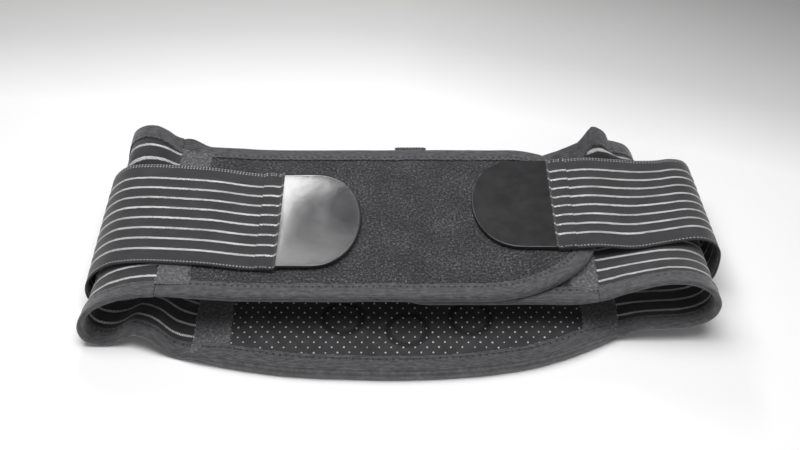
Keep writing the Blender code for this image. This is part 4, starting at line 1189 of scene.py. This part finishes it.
# side, band, outline and height of the pile's face; x from and to of the binding's taper, the pile, its
# puff and the lining; grid steps of the pile and the lining; the puff's height, the pad's fill, and
# the seed of the binding's unevenness
PANELS = {
    "front": ("left", LEFT, outer_outline(), 3.4, (-128.0, -157.0), (-139.0, 134.0), (-136.0, 124.0),
              (-138.0, 134.0), 1.4, 3.0, 0.9, 0.5, 0),
    "inner": ("right", RIGHT, inner_outline(), 3.0, (112.0, 130.0), (-20.0, 114.0), (-11.0, 112.0),
              (-20.0, 113.0), 2.2, 3.5, 0.3, 0.4, 3),
}
for kind, (side, band, outline, face, taper_x, pile_x, puff_x, lining_x, pile_step, lining_step, rise, fill,
           seed) in PANELS.items():
    body = f"{side}_front"
    tape, placer, run = outline_binding(f"{kind}_binding_tape", band.place_at_x, outline, LINING_N[0], face,
                                        seam_taper(*taper_x), seed)
    ride(tape, body, "binding_tape", f"{kind}_binding")
    ride(binding_stitches(f"{kind}_binding_stitches", placer, run, face + 0.62), body, "binding_tape")
    pile = panel_layer(f"{kind}_pile_cloth", band.place_at_x, outline, *pile_x, PILE_LOW, face, "pile",
                       pile_relief(panel_puff(outline, *puff_x), rise), pile_step)
    ride(pile, body, "loop_pile", f"{kind}_pile", f"{kind}_foam")
    lining = panel_layer(f"{kind}_lining_cloth", band.place_at_x, outline, *lining_x, *LINING_N, "lining",
                         still, lining_step)
    ride(lining, body, "lining", f"{kind}_lining")


def seam_patch(name, place, x_low, x_high, y_low, y_high, n_low, n_high, body, node, seed=0):
    """The brushed tape over a seam, with a nap and softly scalloped edges."""
    ys = np.linspace(y_low, y_high, int((y_high - y_low) / 0.9))
    across = np.linspace(0, 1, 22)

    def scallop(phase, shift):
        return 0.5 * np.cos(ys * 2 * math.pi / 4.6 + phase) + 0.5 * crumple(ys + shift, ys * 0, 7)

    x = ((x_low + scallop(0, seed))[:, None] * (1 - across)
         + (x_high + scallop(1, seed + 50))[:, None] * across)
    y = np.broadcast_to(ys[:, None], x.shape)
    inside = np.minimum(across, 1 - across)[None, :] * abs(x_high - x_low)
    dimple = -0.35 * bump(inside - 3.0, 1.6) * (0.6 + 0.4 * np.cos(y * 2 * math.pi / 4.6))
    nap = rng.normal(0, 0.10, x.shape) + 0.25 * crumple(x, y, 14)
    lift = dimple + nap - 0.7 * (1 - np.clip(inside / 1.2, 0, 1))
    top = place(x, y, n_high + lift)
    bottom = place(x, y, np.full(x.shape, float(n_low)))
    ring = np.concatenate([top, bottom[:, ::-1]], 1)
    run = np.broadcast_to((across * abs(x_high - x_low))[None, :], x.shape)
    uv = np.stack([np.concatenate([run, run[:, ::-1]], 1), np.concatenate([y, y], 1) + seed], -1)
    faces = [f[::-1] for f in tube_faces(len(ys), ring.shape[1])]
    piece = make_piece(name, ring.reshape(-1, 3), faces, "seam", uv.reshape(-1, 2), sharp=80)
    return ride(piece, body, "seam_strip", node)


UNDER_TAPE = 7.5  # how far in from a panel's edge its seam tape stops
seam_patch("front_seam_tape", LEFT.place_at_x, -158.6, -136.4, FRONT_NEAR_Y + UNDER_TAPE,
           FRONT_FAR_Y - UNDER_TAPE, 0.3, 3.75, "left_front", "front_seam_strip")
seam_patch("inner_seam_tape", RIGHT.place_at_x, 112.0, 131.0, INNER_NEAR_Y + UNDER_TAPE,
           INNER_FAR_Y - UNDER_TAPE, 0.3, 3.3, "right_front", "inner_seam_strip", seed=30)


# ---------------------------------------------------------------- back

def back_edge_y(x, edge):
    curve = spline(edge, np.linspace(0, len(edge) - 1, 400))
    return np.interp(np.asarray(x, float), curve[:, 0], curve[:, 1])


def back_inset(x, y):
    """Roughly how far a point of the back is from its binding's edge or its seams."""
    sides = np.minimum(y - back_edge_y(x, BACK_NEAR), back_edge_y(x, BACK_FAR) - y)
    return sides, np.minimum(x - LINING_X[0], LINING_X[1] - x)


def magnet_seam(x, y, spread=1.6):
    """True on the round seam that holds a magnet."""
    near = [np.abs(np.hypot(x - mx, y - my) - MAGNET_SEAM_R) < spread for mx, my in MAGNETS]
    return np.any(near, axis=0)


puff_xs = np.linspace(LINING_X[0] + 1, LINING_X[1] - 1, 110)
back_puff = puffed(puff_xs, back_edge_y(puff_xs, BACK_NEAR) + 10, back_edge_y(puff_xs, BACK_FAR) - 10,
                   magnet_seam, columns=88)


def lining_height(x, y):
    """The lining's own ups and downs: drawn in at its edges and magnet seams, pushed out between."""
    sides, ends = back_inset(x, y)
    lift = -1.0 * (1 - np.clip((sides - 8.5) / 7, 0, 1)) - 1.2 * (1 - np.clip((ends - 0.5) / 8, 0, 1))
    lift = lift + 0.2 * crumple(x, y, 40) + 0.8 * back_puff(x, y)
    for mx, my in MAGNETS:
        r = np.hypot(x - mx, y - my)
        lift = lift + 0.2 * (1 - np.clip((r - 9.0) / 2.2, 0, 1)) - 1.1 * bump(r - MAGNET_SEAM_R, 2.2)
    return lift


def lining_relief(along, across, y):
    return lining_height(np.broadcast_to(lining_rows[:, None], y.shape), y)


lining_rows = np.linspace(LINING_X[0], LINING_X[1], 200)
lining_top = cloth("back_lining_cloth", flat, lining_rows, lambda x: back_edge_y(x, BACK_NEAR) + 0.6,
                   lambda x: back_edge_y(x, BACK_FAR) - 0.6, np.linspace(0, 1, 160), *BACK_LINING_Z,
                   "back_lining", lining_rows - lining_rows[0], lining_relief, flip=True)
ride(lining_top, "back", "lining", "back_lining")

DOT_PITCH, DOT_ROW = 7.8, 4.3


def raised_dots():
    """Moulded grip dots on the lining, in staggered rows, thinned out where the seams cover it."""
    verts, faces = [], []
    around = 10
    for j, y in enumerate(np.arange(-98.0, 98.0, DOT_ROW)):
        for x in np.arange(-111.0 + (DOT_PITCH / 2 if j % 2 else 0), 121.5, DOT_PITCH):
            sides, ends = back_inset(np.array(x), np.array(y))
            if sides < 12.0 or ends < 3.0:
                continue
            px, py = x + rng.normal(0, 0.12), y + rng.normal(0, 0.12)
            r = 0.66 + rng.normal(0, 0.05)
            z = BACK_LINING_Z[1] + float(lining_height(np.array(px), np.array(py)))
            base = len(verts)
            for radius, up in ((1.0, -0.35), (0.97, 0.0), (0.78, 0.36), (0.42, 0.56)):
                for k in range(around):
                    a = 2 * math.pi * k / around
                    verts.append((px + r * radius * math.cos(a), py + r * radius * math.sin(a), z + up * 0.9))
            verts.append((px, py, z + 0.56))
            for ring in range(3):
                for k in range(around):
                    a, b = base + ring * around + k, base + ring * around + (k + 1) % around
                    faces.append((a, b, b + around, a + around))
            faces += [(base + 30 + k, base + 30 + (k + 1) % around, base + 40) for k in range(around)]
            faces.append(tuple(base + k for k in reversed(range(around))))
    return make_piece("back_lining_dots", verts, faces, "dots")


ride(raised_dots(), "back", "lining")

shell_rows = np.linspace(BACK_X[0], BACK_X[1], 90)
shell = cloth("back_shell_cloth", flat, shell_rows, lambda x: back_edge_y(x, BACK_NEAR) + 0.5,
              lambda x: back_edge_y(x, BACK_FAR) - 0.5, np.linspace(0, 1, 70), *SHELL_Z, "wing",
              shell_rows - shell_rows[0], flip=True, held="stretched")
ride(shell, "back", "elastic_webbing", "back_shell")


def back_seam_place(side):
    lining, edge = (LINING_X[0], BACK_X[0]) if side == "left" else (LINING_X[1], BACK_X[1])
    out = -1 if side == "left" else 1
    xs = np.array([lining + out * step for step in (-3.0, 0.3, 4.0, 9.0)] + [edge, edge + out * 4])
    zs = np.array([10.1, 9.6, 8.0, 7.2, 6.7, 6.6])
    order = np.argsort(xs)

    def place(x, y, n):
        x, y, n = np.broadcast_arrays(x, y, n)
        return np.stack([x, y, np.interp(x, xs[order], zs[order]) + n], -1)
    return place


for side in ("left", "right"):
    end, out = (0, -1) if side == "left" else (1, 1)
    lining, edge = LINING_X[end] - out * 2.0, BACK_X[end] + out * 2.0
    y_low, y_high = (float(back_edge_y(np.array(edge), points)) for points in (BACK_NEAR, BACK_FAR))
    seam_patch(f"back_seam_tape_{side}", back_seam_place(side), min(lining, edge), max(lining, edge),
               y_low + 2.0, y_high - 2.0, -0.9, 0.9, "back", f"back_seam_{side}",
               seed=60 if side == "left" else 90)


BACK_EDGE_Z = 6.4  # where the tape's middle runs along the back


def long_binding(edge_name):
    """The tape along one edge, from the left fold over the back to the right fold."""
    near = edge_name == "near"
    edge = BACK_NEAR if near else BACK_FAR
    inward = 1.0 if near else -1.0
    parts = []
    for side, low, high in (("left", 8.0, LEFT_BACK_EDGE), ("right", 6.0, RIGHT_BACK_EDGE)):
        band = WING[side][0]
        us = rows_between(low, high, 0.01)
        length = np.interp(us, *band.path(200))
        count = int((length[-1] - length[0]) / 1.1)
        spaced = np.linspace(length[0], length[-1], count + 1)
        parts.append((np.interp(spaced, length, us), spaced))
    (left_u, left_run), (right_u, right_run) = parts
    xs = np.linspace(BACK_X[0], BACK_X[1], 257)[1:-1]
    kind = np.concatenate([np.zeros(len(left_u)), np.ones(len(xs)), np.full(len(right_u), 2)]).astype(int)
    place_u = np.concatenate([left_u, xs, right_u[::-1]])
    back_run = left_run[-1] + (xs - BACK_X[0])
    run = np.concatenate([left_run, back_run, back_run[-1] + 1.0 + (right_run[-1] - right_run[::-1])])
    on_back = kind == 1
    from_end, slopes = np.zeros(len(kind)), np.zeros(len(kind))
    from_end[on_back] = np.minimum(xs - BACK_X[0], BACK_X[1] - xs)
    slopes[on_back] = np.gradient(back_edge_y(xs, edge), xs)
    fat = np.clip((from_end - 2.0) / 20.0, 0, 1)
    fat = fat * fat * (3 - 2 * fat)
    low, high = -2.0 - 2.5 * fat, 1.2 * np.clip(from_end / 4, 0, 1) + 2.9 * fat
    edges = {s: wing_edges(s)[0 if near else 1] for s in ("left", "right")}

    def placer(i, d, n):
        m = (low + high)[i] / 2 + n * ((high - low)[i] / 2)
        result = np.zeros(i.shape + (3,))
        for k, side in ((0, "left"), (2, "right")):
            mask = kind[i] == k
            if mask.any():
                band = WING[side][0]
                u = place_u[i[mask]]
                y = edges[side](u) + inward * d[mask]
                result[mask] = band.place(u, y, -m[mask])
        mask = kind[i] == 1
        s = slopes[i[mask]]
        size = np.sqrt(1 + s * s)
        x = place_u[i[mask]] - inward * s / size * d[mask]
        y = back_edge_y(place_u[i[mask]], edge) + inward / size * d[mask]
        result[mask] = np.stack([x, y, BACK_EDGE_Z + m[mask]], -1)
        return result

    return placer, run, low, high


for edge_name in ("near", "far"):
    placer, run, low, high = long_binding(edge_name)
    half = (high - low) / 2

    def placed(i, d, n, placer=placer, half=half):
        """n is from the middle of a tape that is 1 mm either side; it is stretched to the local half."""
        side = np.sign(n)
        size = half[i] + BINDING_GAP
        return placer(i, d, np.where(np.abs(n) >= 1.0, side * (size + np.abs(n) - 1.0), n * size) / half[i])

    tape = binding(f"back_binding_tape_{edge_name}", placed, run, -0.75, 0.75,
                   seed=11 if edge_name == "near" else 17)
    ride(tape, "back", "binding_tape", f"back_binding_{edge_name}", f"wing_left_binding_{edge_name}",
         f"wing_right_binding_{edge_name}")
    for name, side in (("upper", 1.62), ("lower", -1.62)):
        threads = binding_stitches(f"back_binding_stitches_{edge_name}_{name}", placed, run, side)
        ride(threads, "back", "binding_tape")

# the short stretches of tape on the wings, between the front panels' ends and the folds
for side in ("left", "right"):
    band, start, _, turn, _, _, _ = WING[side]
    hinge, body = WING_HINGE[side], f"{side}_front"
    whole, lengths = band.path(200)
    for edge_name, edge, inward in zip(("near", "far"), wing_edges(side), (1.0, -1.0)):
        span = np.interp([start + 0.03, turn], whole, lengths)
        run = np.linspace(span[0], span[1], int((span[1] - span[0]) / 1.0) + 1)
        us = np.interp(run, lengths, whole)

        def placer(i, d, n, us=us, band=band, edge=edge, inward=inward):
            return band.place(us[i], edge(us[i]) + inward * d, 1.0 - n)

        tape = binding(f"wing_{side}_tape_{edge_name}", placer, run, -1.0, 1.0)
        bend(tape, "back", body, *hinge, "binding_tape")
        threads = binding_stitches(f"wing_{side}_stitches_{edge_name}", placer, run, -1.62)
        bend(threads, "back", body, *hinge, "binding_tape")


def hang_tab():
    """Two layers of ribbed webbing folded over at the end, which is tilted up a little."""
    start, end, radius, middle = 101.0, 115.5, 3.0, 7.0
    ys, zs = [start, start + 4], [middle - 1.6, middle - 2.4]
    for a in np.linspace(-math.pi / 2, math.pi / 2, 13):
        ys.append(end - radius + radius * math.cos(a))
        zs.append(middle + radius * math.sin(a))
    ys += [start + 4, start]
    zs += [middle + 2.4, middle + 1.6]
    ys, zs = np.array(ys), np.array(zs)
    xs = np.linspace(-4.0, 20.0, 29)
    from_side = np.minimum(xs + 4, 20 - xs)
    rib = 0.18 * np.cos((xs + 4) / 2.4 * 2 * math.pi) - 0.6 * (1 - np.clip(from_side / 1.2, 0, 1))
    out = np.stack([ys - np.minimum(ys, end - radius), zs - middle], -1)
    out /= np.linalg.norm(out, axis=1)[:, None]
    tilt = 4.0 / (end - start)
    verts = [(x, y + r * o[0], z + r * o[1] + tilt * (y - start))
             for x, r in zip(xs, rib) for y, z, o in zip(ys, zs, out)]
    run = np.concatenate([[0], np.cumsum(np.hypot(np.diff(ys), np.diff(zs)))])
    uv = [(t, x) for x in xs for t in run]
    return make_piece("hang_tab_webbing", verts, tube_faces(len(xs), len(ys)), "tape", uv, sharp=70)


ride(hang_tab(), "back", "binding_tape", "hang_tab")

# ---------------------------------------------------------------- CAD nodes that stay
LOOKS["anchor"], LOOKS["sleeve"] = webbing_material("anchor_webbing"), webbing_material("sleeve_webbing")
NODE_LOOKS = {"sleeve": "sleeve", "stay_": "steel", "magnet": "magnet", "hook": "hook", "core": "foam",
              "foam": "foam", "anchor": "anchor"}  # the first word found in a node's name counts

for node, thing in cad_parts.items():
    if thing.hide_render:
        continue
    look = next((look for word, look in NODE_LOOKS.items() if word in node), "sleeve")
    thing.data.materials.clear()
    thing.data.materials.append(LOOKS[look])

low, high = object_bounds()
